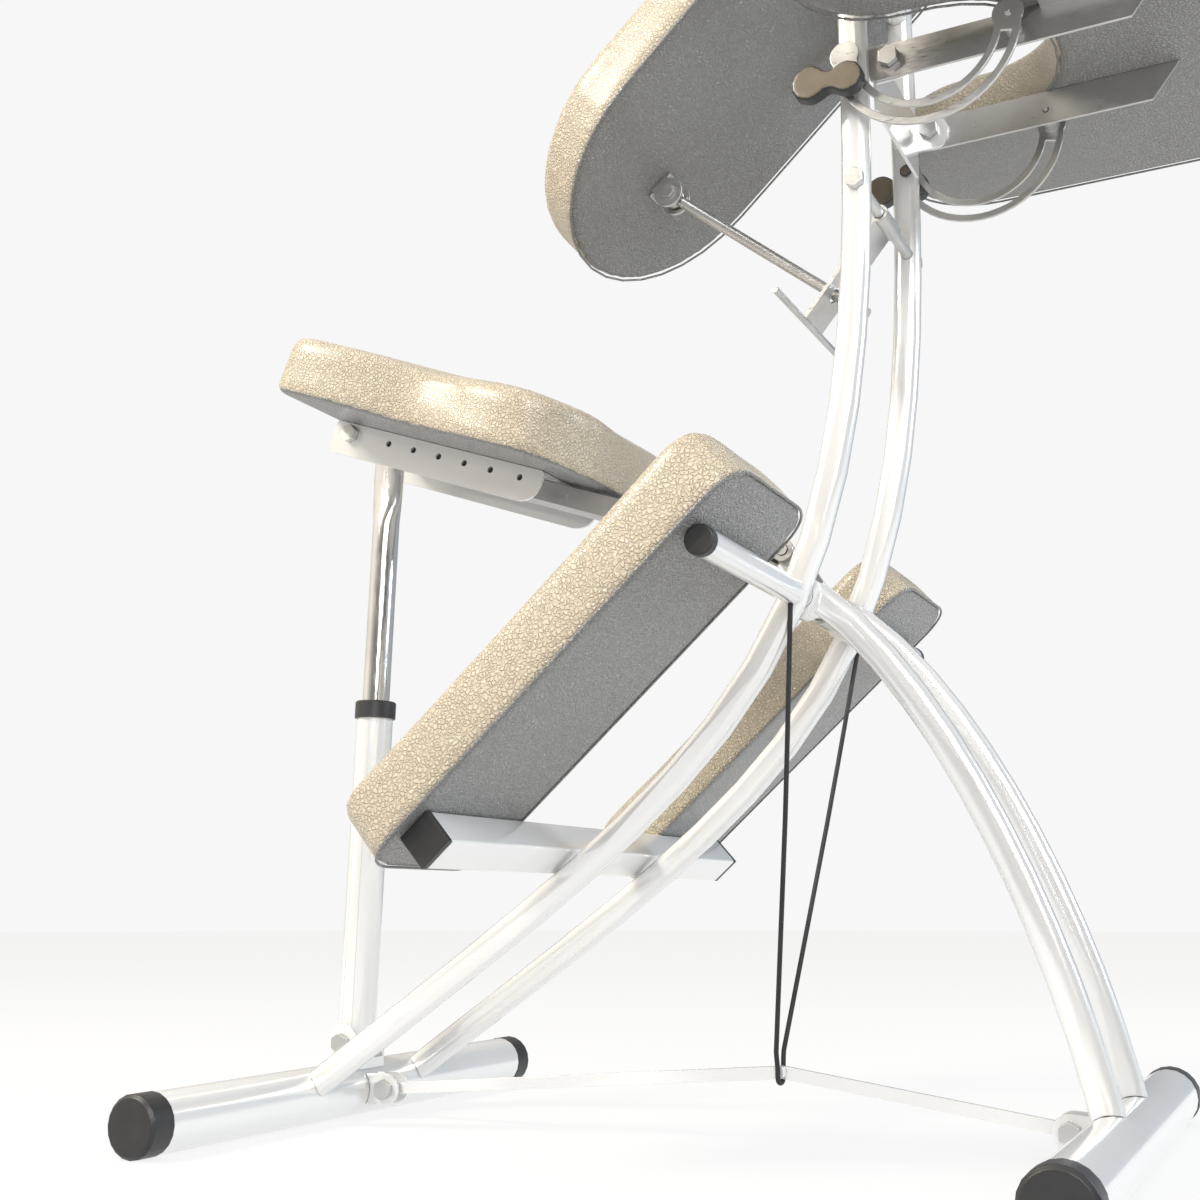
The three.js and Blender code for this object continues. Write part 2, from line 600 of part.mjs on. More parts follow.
function seatPost() {
  const group = new THREE.Group();
  group.position.set(0, 0, POST_PIVOT_Z);
  group.rotation.x = POST_LEAN;
  chair.add(group);
  const foot = -10;
  const rim = foot + POST_LOWER_LENGTH;
  const lower = cut(
    uprightTube(POST_LOWER_R, POST_LOWER_R - POST_LOWER_WALL, foot, rim),
    barX(BOLT_R + BOLT_CLEAR, -30, 30, 0, 0));
  part('post_lower_tube', lower, WHITE, group);
  const lip = 3;                   // the collar closes over the tube's rim
  const collar = new THREE.LatheGeometry([
    [POST_UPPER_R + GAP, rim + lip], [POST_UPPER_R + GAP, rim + GAP], [POST_LOWER_R + GAP, rim + GAP],
    [POST_LOWER_R + GAP, rim + lip - COLLAR_HEIGHT], [COLLAR_R, rim + lip - COLLAR_HEIGHT],
    [COLLAR_R, rim + lip - 1], [COLLAR_R - 1, rim + lip], [POST_UPPER_R + GAP, rim + lip],
  ].map(([r, z]) => new THREE.Vector2(r, z)), 20);
  part('post_collar', collar.rotateX(Math.PI / 2), BLACK, group);
  const boltUp = Math.hypot(SEAT_Y, SEAT_Z - POST_PIVOT_Z);
  const length = boltUp + 10 - POST_UPPER_FOOT;
  const seatBolt = new THREE.Vector3(0, SEAT_Y, SEAT_Z - POST_PIVOT_Z)
    .applyAxisAngle(new THREE.Vector3(1, 0, 0), -POST_LEAN);
  const slack = 1.9;               // the seat bolt's hole is large: the loop is opened here
  const eyeR = BOLT_R + slack + 1.6;
  const shoulder = 2;              // the tongue's full width ends this far below the bolt
  const eyed = keep(upperPost(length), join(
    box(-30, 30, -30, 30, 0, seatBolt.z - shoulder), barX(eyeR, -20, 20, seatBolt.y, seatBolt.z, 24)));
  const upper = cut(eyed, barX(BOLT_R + slack, -20, 20, seatBolt.y, seatBolt.z, 20));
  part('post_upper_tube', upper, STEEL, group);
}

// ---------------------------------------------------------------- seat
function seatGroup() {
  const group = new THREE.Group();
  group.position.set(0, SEAT_Y, SEAT_Z);
  group.rotation.x = SEAT_TILT;
  chair.add(group);
  return group;
}

function seatBracket(group) {
  const back = 18.5;
  const front = back - BRACKET_LENGTH;
  const side = roundedShape([
    [front, BRACKET_RISE, 4], [front, -BRACKET_DROP, 20], [back, -BRACKET_DROP, 7], [back, BRACKET_RISE, 4],
  ]);
  const web = box(-BRACKET_HALF + 1, BRACKET_HALF - 1, front + 3, back - 3,
    BRACKET_RISE - PLATE, BRACKET_RISE);
  const holes = [];
  for (let i = 0; i < HOLE_COUNT; i += 1) holes.push(-HOLE_FIRST - i * HOLE_PITCH);
  holes.push(-HOLE_LAST);
  const reach = BRACKET_HALF + 5;
  const postSlot = box(-6, 6, -14, 14, BRACKET_RISE - PLATE - 1, BRACKET_RISE + 1);
  part('seat_bracket', cut(
    join(plateX(side, -BRACKET_HALF, -BRACKET_HALF + PLATE, 6),
      plateX(side, BRACKET_HALF - PLATE, BRACKET_HALF, 6), web),
    postSlot,
    barX(BOLT_R + BOLT_CLEAR, -reach, reach, 0, 0),
    ...holes.map((y) => barX(HOLE_R, -reach, reach, y, 0, 12))), WHITE, group);
  part('seat_bolt', crossBolt(BRACKET_HALF, 0, 0), ZINC, group);
}

function seatRail(group) {
  const half = RAIL_WIDTH / 2;
  const top = BRACKET_RISE - PLATE - GAP;
  const bottom = top - RAIL_HEIGHT;
  const start = -28;
  const outline = new THREE.Shape([[-half, bottom], [half, bottom], [half, top], [-half, top]]
    .map(([a, b]) => new THREE.Vector2(a, b)));
  const w = RAIL_WALL;
  outline.holes.push(new THREE.Path([
    [-half + w, bottom + w], [-half + w, top - w], [half - w, top - w], [half - w, bottom + w],
  ].map(([a, b]) => new THREE.Vector2(a, b))));
  const body = new THREE.ExtrudeGeometry(outline, { depth: RAIL_PIVOT - 14 + start, bevelEnabled: false });
  body.rotateX(Math.PI / 2).translate(0, start, 0);
  const eyeR = 8;
  const cheek = (x0, x1) => join(
    barX(eyeR, x0, x1, -RAIL_PIVOT, 0, 20), box(x0, x1, -RAIL_PIVOT, -RAIL_PIVOT + 30, -7, 4));
  part('seat_rail', cut(
    join(body, cheek(-half, -half + 4), cheek(half - 4, half)),
    barX(BOLT_R + BOLT_CLEAR, -half - 3, half + 3, -RAIL_PIVOT, 0)), STEEL, group);
}

// Seen from above: wide at the back, drawn in where the thighs leave, round nose in front.
function seatOutline(inset) {
  const rear = SEAT_BACK - inset;
  const nose = SEAT_BACK - SEAT_DEPTH + inset;
  const wide = SEAT_REAR_HALF - inset;
  const waist = SEAT_WAIST_HALF - inset;
  const front = SEAT_FRONT_HALF - inset;
  const shape = new THREE.Shape();
  const halfPath = (side, first) => {
    const at = (x, y) => [side * x, y];
    if (first) shape.moveTo(0, rear);
    if (side > 0) {
      shape.lineTo(...at(wide - 26, rear));
      shape.quadraticCurveTo(...at(wide, rear), ...at(wide, rear - 26));
      shape.bezierCurveTo(...at(wide, -60), ...at(waist, -70), ...at(waist, -102));
      shape.bezierCurveTo(...at(waist, -135), ...at(front, -140), ...at(front, -176));
      shape.bezierCurveTo(...at(front, -215), ...at(front - 30, nose + 6), ...at(front - 62, nose));
      shape.lineTo(...at(front - 62 - 40, nose));
    } else {
      shape.lineTo(...at(front - 62, nose));
      shape.bezierCurveTo(...at(front - 30, nose + 6), ...at(front, -215), ...at(front, -176));
      shape.bezierCurveTo(...at(front, -140), ...at(waist, -135), ...at(waist, -102));
      shape.bezierCurveTo(...at(waist, -70), ...at(wide, -60), ...at(wide, rear - 26));
      shape.quadraticCurveTo(...at(wide, rear), ...at(wide - 26, rear));
      shape.closePath();
    }
  };
  halfPath(1, true);
  halfPath(-1, false);
  return shape;
}

function seatPad(group) {
  const [pad, board] = paddedBoard(seatOutline, 14, SEAT_THICK, BRACKET_RISE + GAP);
  part('seat_board', board, BACKING, group);
  part('seat_pad', pad, HIDE, group);
}

// Bracket on the cross tube that carries the front end of the seat rail.
function railBracket() {
  const pivot = new THREE.Vector3(0, -RAIL_PIVOT, 0)
    .applyAxisAngle(new THREE.Vector3(1, 0, 0), SEAT_TILT)
    .add(new THREE.Vector3(0, SEAT_Y, SEAT_Z));
  const half = RAIL_WIDTH / 2 - 4 - GAP;
  const neck = linkShape([pivot.y, pivot.z], [KNEE_Y, KNEE_Z], 7.5);
  const bracket = join(
    plateX(neck, -half, -half + PLATE), plateX(neck, half - PLATE, half),
    barX(KNEE_R + 3, -half, half, KNEE_Y, KNEE_Z, 20),
    barX(BOLT_R, -RAIL_WIDTH / 2 - 1, RAIL_WIDTH / 2 + 1, pivot.y, pivot.z));
  part('rail_bracket', cut(bracket, barX(KNEE_R + GAP, -40, 40, KNEE_Y, KNEE_Z, 20)), STEEL);
}

// ---------------------------------------------------------------- armrest
function armGroup() {
  const group = new THREE.Group();
  group.position.set(0, ARM_Y, ARM_Z);
  chair.add(group);
  return group;
}

function armYoke() {
  const earIn = STRIP_X - PLATE / 2 - GAP - PLATE;
  const earOut = earIn + PLATE;
  const webRear = FRAME_Y - FRAME_DEEP / 2 - GAP;
  const low = ARM_Z - 35.7;
  const high = ARM_Z + 14;
  const web = box(-earIn - 1, earIn + 1, webRear - PLATE, webRear, low, high);
  const tail = FRAME_Y + 6;        // the ears run back between the main tubes
  const ear = roundedShape([
    [tail, ARM_Z - 8, 3], [tail, high, 3], [ARM_Y - 6, high, 5], [ARM_Y - 15, ARM_Z + 2, 10],
    [ARM_Y - 12, ARM_Z - 15, 8], [webRear - PLATE, ARM_Z - 15], [webRear - PLATE, low],
    [webRear, low], [webRear, ARM_Z - 8],
  ]);
  // Weld pads stand between the ears and the main tubes, behind the strips' swing.
  const pads = SIDES.map(([, side]) => box(
    side * (earOut - 1), side * (FRAME_X - FRAME_THICK / 2 - GAP), tail - 8, tail, ARM_Z - 6, high - 2));
  part('armrest_yoke', cut(
    join(web, plateX(ear, -earOut, -earIn, 6), plateX(ear, earIn, earOut, 6), ...pads),
    barX(BOLT_R + BOLT_CLEAR, -80, 80, ARM_Y, ARM_Z)), WHITE);
}

function armStrips(group) {
  const top = STRIP_HEIGHT - STRIP_BELOW;
  const rear = 14.5;
  const outline = roundedShape([
    [rear, -STRIP_BELOW, 3], [rear, top, 3], [-STRIP_REACH - STRIP_POINT, top], [-STRIP_REACH, -STRIP_BELOW],
  ]);
  const flange = 13;
  for (const [word, side] of SIDES) {
    const inner = side * (STRIP_X - PLATE / 2);
    const outer = side * (STRIP_X + PLATE / 2);
    const lip = side * (STRIP_X + PLATE / 2 + flange);
    const edges = [inner, outer].sort((p, q) => p - q);
    const lipEdges = [side * STRIP_X, lip].sort((p, q) => p - q);
    const strip = cut(
      join(plateX(outline, ...edges, 4), box(...lipEdges, -STRIP_REACH, -104, top - PLATE, top)),
      barX(BOLT_R + BOLT_CLEAR, edges[0] - 5, edges[1] + 5, 0, 0),
      barX(STUD_R + BOLT_CLEAR, edges[0] - 5, edges[1] + 5, arcPivotY() - ARM_Y, ARC_Z - ARM_Z, 16));
    part(`armrest_strip_${word}`, strip, STEEL, group);
    // Hex bolt through the strip and the yoke's ear.
    const boltFrom = STRIP_X + PLATE / 2 + GAP;
    const boltTo = STRIP_X - PLATE / 2 - PLATE - 3 * GAP;
    const span = (a, b) => [side * a, side * b].sort((p, q) => p - q);
    const bolt = join(
      barX(BOLT_R, ...span(boltTo - BOLT_HEAD + 1, boltFrom + 1), 0, 0),
      hexX(...span(boltFrom, boltFrom + BOLT_HEAD), 0, 0),
      hexX(...span(boltTo - BOLT_HEAD, boltTo), 0, 0));
    part(`armrest_bolt_${word}`, bolt, ZINC, group);
  }
}

// The pad is a wide bar with two lobes that reach back past the frame.
function armOutline(inset) {
  const half = ARM_HALF - inset;
  const notch = ARM_NOTCH_HALF + inset;
  const back = ARM_REAR - inset;
  const front = -ARM_FRONT + inset;
  const bottom = -ARM_NOTCH - inset;
  const lobe = (half - notch) / 2;
  const corner = 70;
  const shape = new THREE.Shape();
  shape.moveTo(0, bottom);
  shape.bezierCurveTo(notch * 0.62, bottom, notch, bottom + 30, notch, back - lobe);
  shape.absarc((half + notch) / 2, back - lobe, lobe, Math.PI, 0, true);
  shape.lineTo(half, front + corner);
  shape.quadraticCurveTo(half, front, half - corner, front);
  shape.lineTo(-half + corner, front);
  shape.quadraticCurveTo(-half, front, -half, front + corner);
  shape.lineTo(-half, back - lobe);
  shape.absarc(-(half + notch) / 2, back - lobe, lobe, Math.PI, 0, true);
  shape.bezierCurveTo(-notch, bottom + 30, -notch * 0.62, bottom, 0, bottom);
  return shape;
}

function armPad(group) {
  const [pad, board] = paddedBoard(armOutline, 14, ARM_THICK, STRIP_HEIGHT - STRIP_BELOW + GAP);
  part('armrest_board', board, BACKING, group);
  part('armrest_pad', pad, HIDE, group);
}

function arcPivotY() {
  return ARC_CENTRE_Y - ARC_R;
}

function studY() {
  return ARC_CENTRE_Y + ARC_R * Math.cos(STUD_ANGLE);
}

function studZ() {
  return ARC_Z + ARC_R * Math.sin(STUD_ANGLE);
}

// Half ring with a slot along its middle line; it hangs from a stud in the armrest strip.
function tiltArcs() {
  const outerR = ARC_R + ARC_WIDTH / 2;
  const innerR = ARC_R - ARC_WIDTH / 2;
  const end = ARC_WIDTH / 2 + 1.5;
  const ring = new THREE.Shape();
  ring.absarc(ARC_CENTRE_Y, ARC_Z, outerR, Math.PI, 2 * Math.PI, false);
  ring.absarc(ARC_CENTRE_Y, ARC_Z, innerR, 2 * Math.PI, Math.PI, true);
  ring.closePath();
  const slotEnd = THREE.MathUtils.degToRad(13);
  const slot = new THREE.Shape();
  const slotOut = ARC_R + SLOT_WIDTH / 2;
  const slotIn = ARC_R - SLOT_WIDTH / 2;
  slot.absarc(ARC_CENTRE_Y, ARC_Z, slotOut, Math.PI + slotEnd, 2 * Math.PI - slotEnd, false);
  slot.absarc(ARC_CENTRE_Y, ARC_Z, slotIn, 2 * Math.PI - slotEnd, Math.PI + slotEnd, true);
  slot.closePath();
  for (const [word, side] of SIDES) {
    const [x0, x1] = [side * (ARC_X - PLATE / 2), side * (ARC_X + PLATE / 2)].sort((p, q) => p - q);
    const stubFrom = STRIP_X - PLATE / 2 - 4;
    const [s0, s1] = [side * stubFrom, side * (ARC_X + 4)].sort((p, q) => p - q);
    const spacer = [side * (STRIP_X + PLATE / 2 + GAP), side * ARC_X].sort((p, q) => p - q);
    const arc = cut(
      join(plateX(ring, x0, x1, 12),
        barX(end, x0, x1, arcPivotY(), ARC_Z, 24),
        barX(end, x0, x1, ARC_CENTRE_Y + ARC_R, ARC_Z, 24),
        barX(STUD_R, s0, s1, arcPivotY(), ARC_Z, 16),
        barX(6, ...spacer, arcPivotY(), ARC_Z, 16)),
      plateX(slot, x0 - 1, x1 + 1, 12));
    part(`tilt_arc_${word}`, arc, STEEL);
  }
}

// Bone-shaped cam lever on a stud that goes through the main tube and the arc's slot.
function camLevers() {
  const y = studY();
  const z = studZ();
  const tipY = y + LEVER_LENGTH;
  const tipZ = z + 2;
  const waistY = y + LEVER_LENGTH * 0.47;
  const bone = new THREE.Shape();
  bone.moveTo(y, z + 11.5);
  bone.bezierCurveTo(y + 7, z + 11.5, y + 9, z + 7, waistY, z + 7);
  bone.bezierCurveTo(waistY + 5, z + 8, tipY - 9, tipZ + 13, tipY, tipZ + 12.5);
  bone.bezierCurveTo(tipY + 15, tipZ + 11, tipY + 15, tipZ - 12, tipY, tipZ - 13);
  bone.bezierCurveTo(tipY - 9, tipZ - 13, waistY + 5, z - 6, waistY, z - 6);
  bone.bezierCurveTo(y + 9, z - 7, y + 7, z - 11.5, y, z - 11.5);
  bone.bezierCurveTo(y - 14, z - 11, y - 14, z + 11, y, z + 11.5);
  const from = ARC_X + PLATE / 2 + 1.2;
  const thick = 11;
  for (const [word, side] of SIDES) {
    const [x0, x1] = [side * from, side * (from + thick)].sort((p, q) => p - q);
    const nut = FRAME_X - FRAME_THICK / 2 - GAP;
    const head = 3;
    const [s0, s1] = [side * (nut - head), side * (from + 2)].sort((p, q) => p - q);
    const [n0, n1] = [side * (nut - head), side * nut].sort((p, q) => p - q);
    part(`cam_lever_${word}`, join(
      plateX(bone, x0, x1, 5), barX(STUD_R, s0, s1, y, z, 16), barX(5.5, n0, n1, y, z, 6)), BLACK);
  }
}

// ---------------------------------------------------------------- chest pad, strut and brake plate
function slopePoint(up, out) {
  // A point up the chest pad's slope, and out from its back plane towards the sitter.
  const c = Math.cos(PAD_SLOPE);
  const s = Math.sin(PAD_SLOPE);
  return [-up * c + (CHEST_BACK + out) * s, up * s + (CHEST_BACK + out) * c];
}

function headZ() {
  const c = Math.cos(PAD_SLOPE);
  return (CHEST_BACK - HEAD_DROP - FRAME_Y * Math.sin(PAD_SLOPE)) / c;
}

// In this group +Y runs down the chest pad, +Z out of it towards the sitter; the origin is on the
// back plane, level with the lower end of the pad.
function chestGroup() {
  return slopeGroup(...slopePoint(CHEST_LOW, 0), PAD_SLOPE);
}

function chestOutline(inset) {
  const r = CHEST_HALF - inset;
  const top = -CHEST_LENGTH + inset;
  const corner = 60;
  const shape = new THREE.Shape();
  shape.moveTo(r, -CHEST_HALF);
  shape.absarc(0, -CHEST_HALF, r, 0, Math.PI, false);
  shape.lineTo(-r, top + corner);
  shape.quadraticCurveTo(-r, top, -r + corner, top);
  shape.lineTo(r - corner, top);
  shape.quadraticCurveTo(r, top, r, top + corner);
  shape.closePath();
  return shape;
}

function chestPad(group) {
  const [pad, board] = paddedBoard(chestOutline, 12, CHEST_THICK, GAP);
  part('chest_board', board, BACKING, group);
  part('chest_pad', pad, HIDE, group);
}

function chestHinge(group) {
  const headUp = (FRAME_Y * -Math.cos(PAD_SLOPE)) + headZ() * Math.sin(PAD_SLOPE) - CHEST_LOW;
  const sleeve = barX(HEAD_R + 3, -38, 38, -headUp, -HEAD_DROP, 28);
  const plate = box(-38, 38, -headUp - 26, -headUp + 26, -PLATE, 0);
  const block = box(-38, 38, -headUp - 6, -headUp + 6, -HEAD_DROP, -PLATE / 2);
  part('chest_hinge', cut(join(sleeve, plate, block),
    barX(HEAD_R + GAP, -50, 50, -headUp, -HEAD_DROP, 28)), STEEL, group);
}

function headTube() {
  const half = FRAME_X + FRAME_THICK / 2;
  part('head_tube', hollowBar(HEAD_R, 2, -half, half, FRAME_Y, headZ(), 24), WHITE);
}

function chestClevis(group) {
  const up = CLEVIS_UP - CHEST_LOW;
  const inner = 6.5;
  const disc = (side) => {
    const edges = [side * inner, side * (inner + PLATE)].sort((p, q) => p - q);
    return join(barX(12, ...edges, -up, -CLEVIS_OUT, 24), box(...edges, -up - 8, -up + 8, -CLEVIS_OUT, 0));
  };
  const foot = box(-inner - 1, inner + 1, -up - 12, -up + 12, -PLATE, 0);
  part('chest_clevis', cut(join(disc(-1), disc(1), foot),
    barX(3 + BOLT_CLEAR, -20, 20, -up, -CLEVIS_OUT, 16),
    box(-20, 20, -up - 20, -up + 20, 0, 12)), STEEL, group);
}

function strutPoint() {
  return slopePoint(CLEVIS_UP, -CLEVIS_OUT);
}

function brakeHole() {
  const [y, z] = strutPoint();
  const lean = brakeAngle(y, z);
  return [BRAKE_Y + BRAKE_HOLE * Math.cos(lean), BRAKE_Z - BRAKE_HOLE * Math.sin(lean)];
}

// The brake plate hangs square to the strut, so its hole lies on the strut's axis.
function brakeAngle(y, z) {
  const far = Math.hypot(y - BRAKE_Y, z - BRAKE_Z);
  return Math.acos(BRAKE_HOLE / far) - Math.atan2(z - BRAKE_Z, y - BRAKE_Y);
}

function chestStrut() {
  const [y, z] = strutPoint();
  const [holeY, holeZ] = brakeHole();
  const group = new THREE.Group();
  group.position.set(0, y, z);
  group.rotation.x = Math.atan2(z - holeZ, y - holeY);
  chair.add(group);
  const into = 3;                  // the rod starts inside its eye
  const rod = new THREE.CylinderGeometry(STRUT_R, STRUT_R, STRUT_LENGTH - into, 20);
  rod.translate(0, -(STRUT_LENGTH + into) / 2, 0);
  const eye = barX(8, -4.5, 4.5, 0, 0, 24);
  const pin = barX(3, -11, 11, 0, 0, 16);
  part('chest_strut', join(rod, eye, pin,
    barX(5.5, -12.5, -6.5 - PLATE - GAP, 0, 0, 6), barX(5.5, 6.5 + PLATE + GAP, 12.5, 0, 0, 6)), STEEL, group);
}

function brakePlate() {
  const lean = brakeAngle(...strutPoint());
  const group = new THREE.Group();
  group.position.set(0, BRAKE_Y, BRAKE_Z);
  group.rotation.x = -lean;
  chair.add(group);
  const end = BRAKE_LENGTH;
  const t = PLATE / 2;
  const blank = box(-BRAKE_HALF, BRAKE_HALF, 0, end, -t, t);
  const eye = barX(BRAKE_ROD_R + 2.5, -BRAKE_HALF, BRAKE_HALF, 0, 0, 20);
  const release = barX(RELEASE_R, -RELEASE_HALF, RELEASE_HALF, end, -t, 14);
  const slack = 2.4;               // play round the strut, taken up when the plate cants
  const hole = new THREE.CylinderGeometry(STRUT_R + slack, STRUT_R + slack, 20, 24);
  hole.rotateX(Math.PI / 2).translate(0, BRAKE_HOLE, 0);
  part('brake_plate', cut(join(blank, eye, release), hole,
    barX(BRAKE_ROD_R + BOLT_CLEAR, -40, 40, 0, 0)), STEEL, group);
  const half = FRAME_X + FRAME_THICK / 2;
  part('brake_pivot_rod', crossBolt(half, BRAKE_Y, BRAKE_Z, BRAKE_ROD_R), ZINC);
}

// ---------------------------------------------------------------- face cradle
function faceCradle(group) {
  const top = -CHEST_LENGTH;
  const axis = -CRADLE_ROD_R - 1.5;  // rods run this far behind the board
  const along = (r, y0, y1, x, z, sides = 16) =>
    new THREE.CylinderGeometry(r, r, y1 - y0, sides).translate(x, (y0 + y1) / 2, z);
  const sockets = [top + 6, top + 66];
  const socketR = CRADLE_ROD_R + GAP + 0.9;
  const bridge = box(-CRADLE_X, CRADLE_X, top + 18, top + 50, -PLATE - GAP, -GAP);
  part('cradle_sockets', cut(
    join(bridge, ...SIDES.map(([, side]) => along(socketR, ...sockets, side * CRADLE_X, axis))),
    ...SIDES.map(([, side]) =>
      along(CRADLE_ROD_R + GAP, sockets[0] - 5, sockets[1] + 5, side * CRADLE_X, axis)),
  ), STEEL, group);
  const rodEnd = top - CRADLE_OUT;
  const rods = join(
    barX(CRADLE_ROD_R, -CRADLE_X - 4, CRADLE_X + 4, rodEnd, axis),
    ...SIDES.map(([, side]) => along(CRADLE_ROD_R, rodEnd, sockets[1] + 40, side * CRADLE_X, axis)));
  part('cradle_rods', rods, STEEL, group);
  // The plate and its cushion turn about the rods' cross bar.
  const cradle = new THREE.Group();
  cradle.position.set(0, rodEnd, axis);
  cradle.rotation.x = CRADLE_TILT;
  group.add(cradle);
  const reach = CRADLE_OUTER + 22;
  const crescent = (outer, inner) => {
    const mid = (outer + inner) / 2;
    const end = (outer - inner) / 2;
    const from = Math.PI / 2 + CRADLE_OPEN;
    const to = Math.PI / 2 - CRADLE_OPEN + 2 * Math.PI;
    const shape = new THREE.Shape();
    shape.absarc(0, -reach, outer, from, to, false);
    shape.absarc(mid * Math.cos(to), -reach + mid * Math.sin(to), end, to, to + Math.PI, false);
    shape.absarc(0, -reach, inner, to, from, true);
    shape.absarc(mid * Math.cos(from), -reach + mid * Math.sin(from), end, from - Math.PI, from, false);
    shape.closePath();
    return shape;
  };
  const plateZ = CRADLE_ROD_R + 5;
  const plate = new THREE.ExtrudeGeometry(crescent(CRADLE_OUTER - 26, CRADLE_INNER + 26), {
    depth: 6, bevelEnabled: false, curveSegments: 8 }).translate(0, 0, plateZ);
  const sleeve = barX(CRADLE_ROD_R + 3, -CRADLE_X + 9, CRADLE_X - 9, 0, 0, 24);
  const mid = (CRADLE_OUTER + CRADLE_INNER) / 2;
  const tip = [mid * Math.sin(CRADLE_OPEN), mid * Math.cos(CRADLE_OPEN) - reach];
  const arms = SIDES.map(([, side]) => new THREE.ExtrudeGeometry(
    linkShape([side * 34, -8], [side * tip[0], tip[1]], 7),
    { depth: 5, bevelEnabled: false }).translate(0, 0, plateZ - 2));
  const riser = box(-37, 37, -18, 0, 4, plateZ + 2);
  part('cradle_plate', cut(join(plate, sleeve, ...arms, riser),
    barX(CRADLE_ROD_R + GAP, -80, 80, 0, 0, 24)), BLACK, cradle);
  const cushion = padSolid(crescent(CRADLE_OUTER, CRADLE_INNER), CRADLE_THICK, 14, 8);
  part('face_cushion', cushion.translate(0, 0, plateZ + 6 + GAP), HIDE, cradle);
  // Cam lever that locks the tilt, on the end of the cross bar.
  const handle = linkShape([0, 0], [46, -6], 7);
  const hub = CRADLE_X + CRADLE_ROD_R + GAP;
  const lever = join(
    plateX(handle, hub + 4, hub + 12), barX(11, hub + 4, hub + 14, 0, 0, 20), barX(4, hub, hub + 5, 0, 0));
  const leverGroup = new THREE.Group();
  leverGroup.position.set(0, rodEnd, axis);
  group.add(leverGroup);
  part('cradle_lever', lever, BLACK, leverGroup);
}

// ---------------------------------------------------------------- build
floorTubes();
mainTubes();
frontLegs();
kneeCrossTube();
squareTube();
kneePads();
strap();
elasticCord();
postBracket();
seatPost();
const seat = seatGroup();
seatBracket(seat);
seatRail(seat);
seatPad(seat);
railBracket();
armYoke();
const arm = armGroup();
armStrips(arm);
armPad(arm);
tiltArcs();
camLevers();
const chest = chestGroup();
chestPad(chest);
chestHinge(chest);
chestClevis(chest);
headTube();
chestStrut();
brakePlate();
faceCradle(chest);

// The origin goes to the floor under the middle of the chair.
const bounds = new THREE.Box3().setFromObject(chair);
chair.position.y = -(bounds.min.y + bounds.max.y) / 2;

export default chair;
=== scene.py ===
# %% [markdown]
# # A kneeling massage chair, dressed for its portrait
#
# The chair arrives as a bare model: every tube, plate, bolt and pad is in its place and moves on the right hinge.
# This lesson gives it its looks. The steel gets its paint and its brushed finish, the hard corners are broken,
# and each block of foam becomes a stretched leather pad with a seam. Nothing is moved: every new piece takes its
# place from the model, so it still folds and tilts as the chair does. Lengths are in metres.

# %% Load the chair
import json
import math

import bmesh
import bpy
import numpy as np
from mathutils import Matrix, Vector


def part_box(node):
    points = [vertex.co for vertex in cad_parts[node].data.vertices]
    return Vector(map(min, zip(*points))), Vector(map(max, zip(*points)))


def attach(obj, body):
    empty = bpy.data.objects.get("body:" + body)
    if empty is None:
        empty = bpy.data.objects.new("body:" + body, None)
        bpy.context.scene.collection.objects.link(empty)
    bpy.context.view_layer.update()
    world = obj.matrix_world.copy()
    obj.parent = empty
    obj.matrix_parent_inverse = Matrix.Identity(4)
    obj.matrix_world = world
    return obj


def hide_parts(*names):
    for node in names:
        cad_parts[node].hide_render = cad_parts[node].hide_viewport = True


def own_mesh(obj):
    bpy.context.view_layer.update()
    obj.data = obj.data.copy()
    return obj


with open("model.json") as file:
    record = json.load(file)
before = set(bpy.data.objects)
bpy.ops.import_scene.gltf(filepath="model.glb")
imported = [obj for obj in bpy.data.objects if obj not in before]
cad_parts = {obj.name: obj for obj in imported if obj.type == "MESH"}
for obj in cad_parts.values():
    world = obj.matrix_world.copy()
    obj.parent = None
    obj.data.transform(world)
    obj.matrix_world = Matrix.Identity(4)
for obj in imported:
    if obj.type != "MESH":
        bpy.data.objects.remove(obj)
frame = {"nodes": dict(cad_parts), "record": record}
bodies = frame["record"]["behaviour"]["bodies"]
body_of_node = {node: body for body, nodes in bodies.items() for node in nodes}
slot_of_node = {row["node"]: row["material_slot"] for row in frame["record"]["subparts"]}
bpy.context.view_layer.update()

# %% [markdown]
# ## The camera
#
# The camera stands low beside the chair, a little in front of the knee pads, and looks up past them. Its three
# facts are a place, a tilt and a lens. A longer lens further away would flatten the chair, so the real distance
# matters as much as the direction.

# %% Place the camera
camera_data = bpy.data.cameras.new("camera")
camera_data.lens = 43.9
camera_data.sensor_width = 36
camera = bpy.data.objects.new("camera", camera_data)
camera.location = (-0.9779, -0.2930523, 0.1585)
camera.rotation_euler = (math.radians(101.81), 0, math.radians(-63.14))
bpy.context.scene.collection.objects.link(camera)
bpy.context.scene.camera = camera
print("camera at", tuple(round(c, 3) for c in camera.location))

# %% [markdown]
# ## Helpers for making pieces
#
# Four small helpers do the book-keeping. `ride` hooks a piece to the body of one of the model's solids, and hides
# the solids it stands for. `add_piece` turns a bmesh into an object at the origin.
# `copy_of` gives a welded copy of one or more of the solids, because their own meshes are loose triangles. `only`
# selects a single piece.

# %% Book-keeping helpers
def ride(piece, node, *stands_for):
    """The piece moves with the node's body, and the named nodes that it stands for are hidden."""
    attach(piece, body_of_node[node])
    if stands_for:
        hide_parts(*stands_for)
    return piece


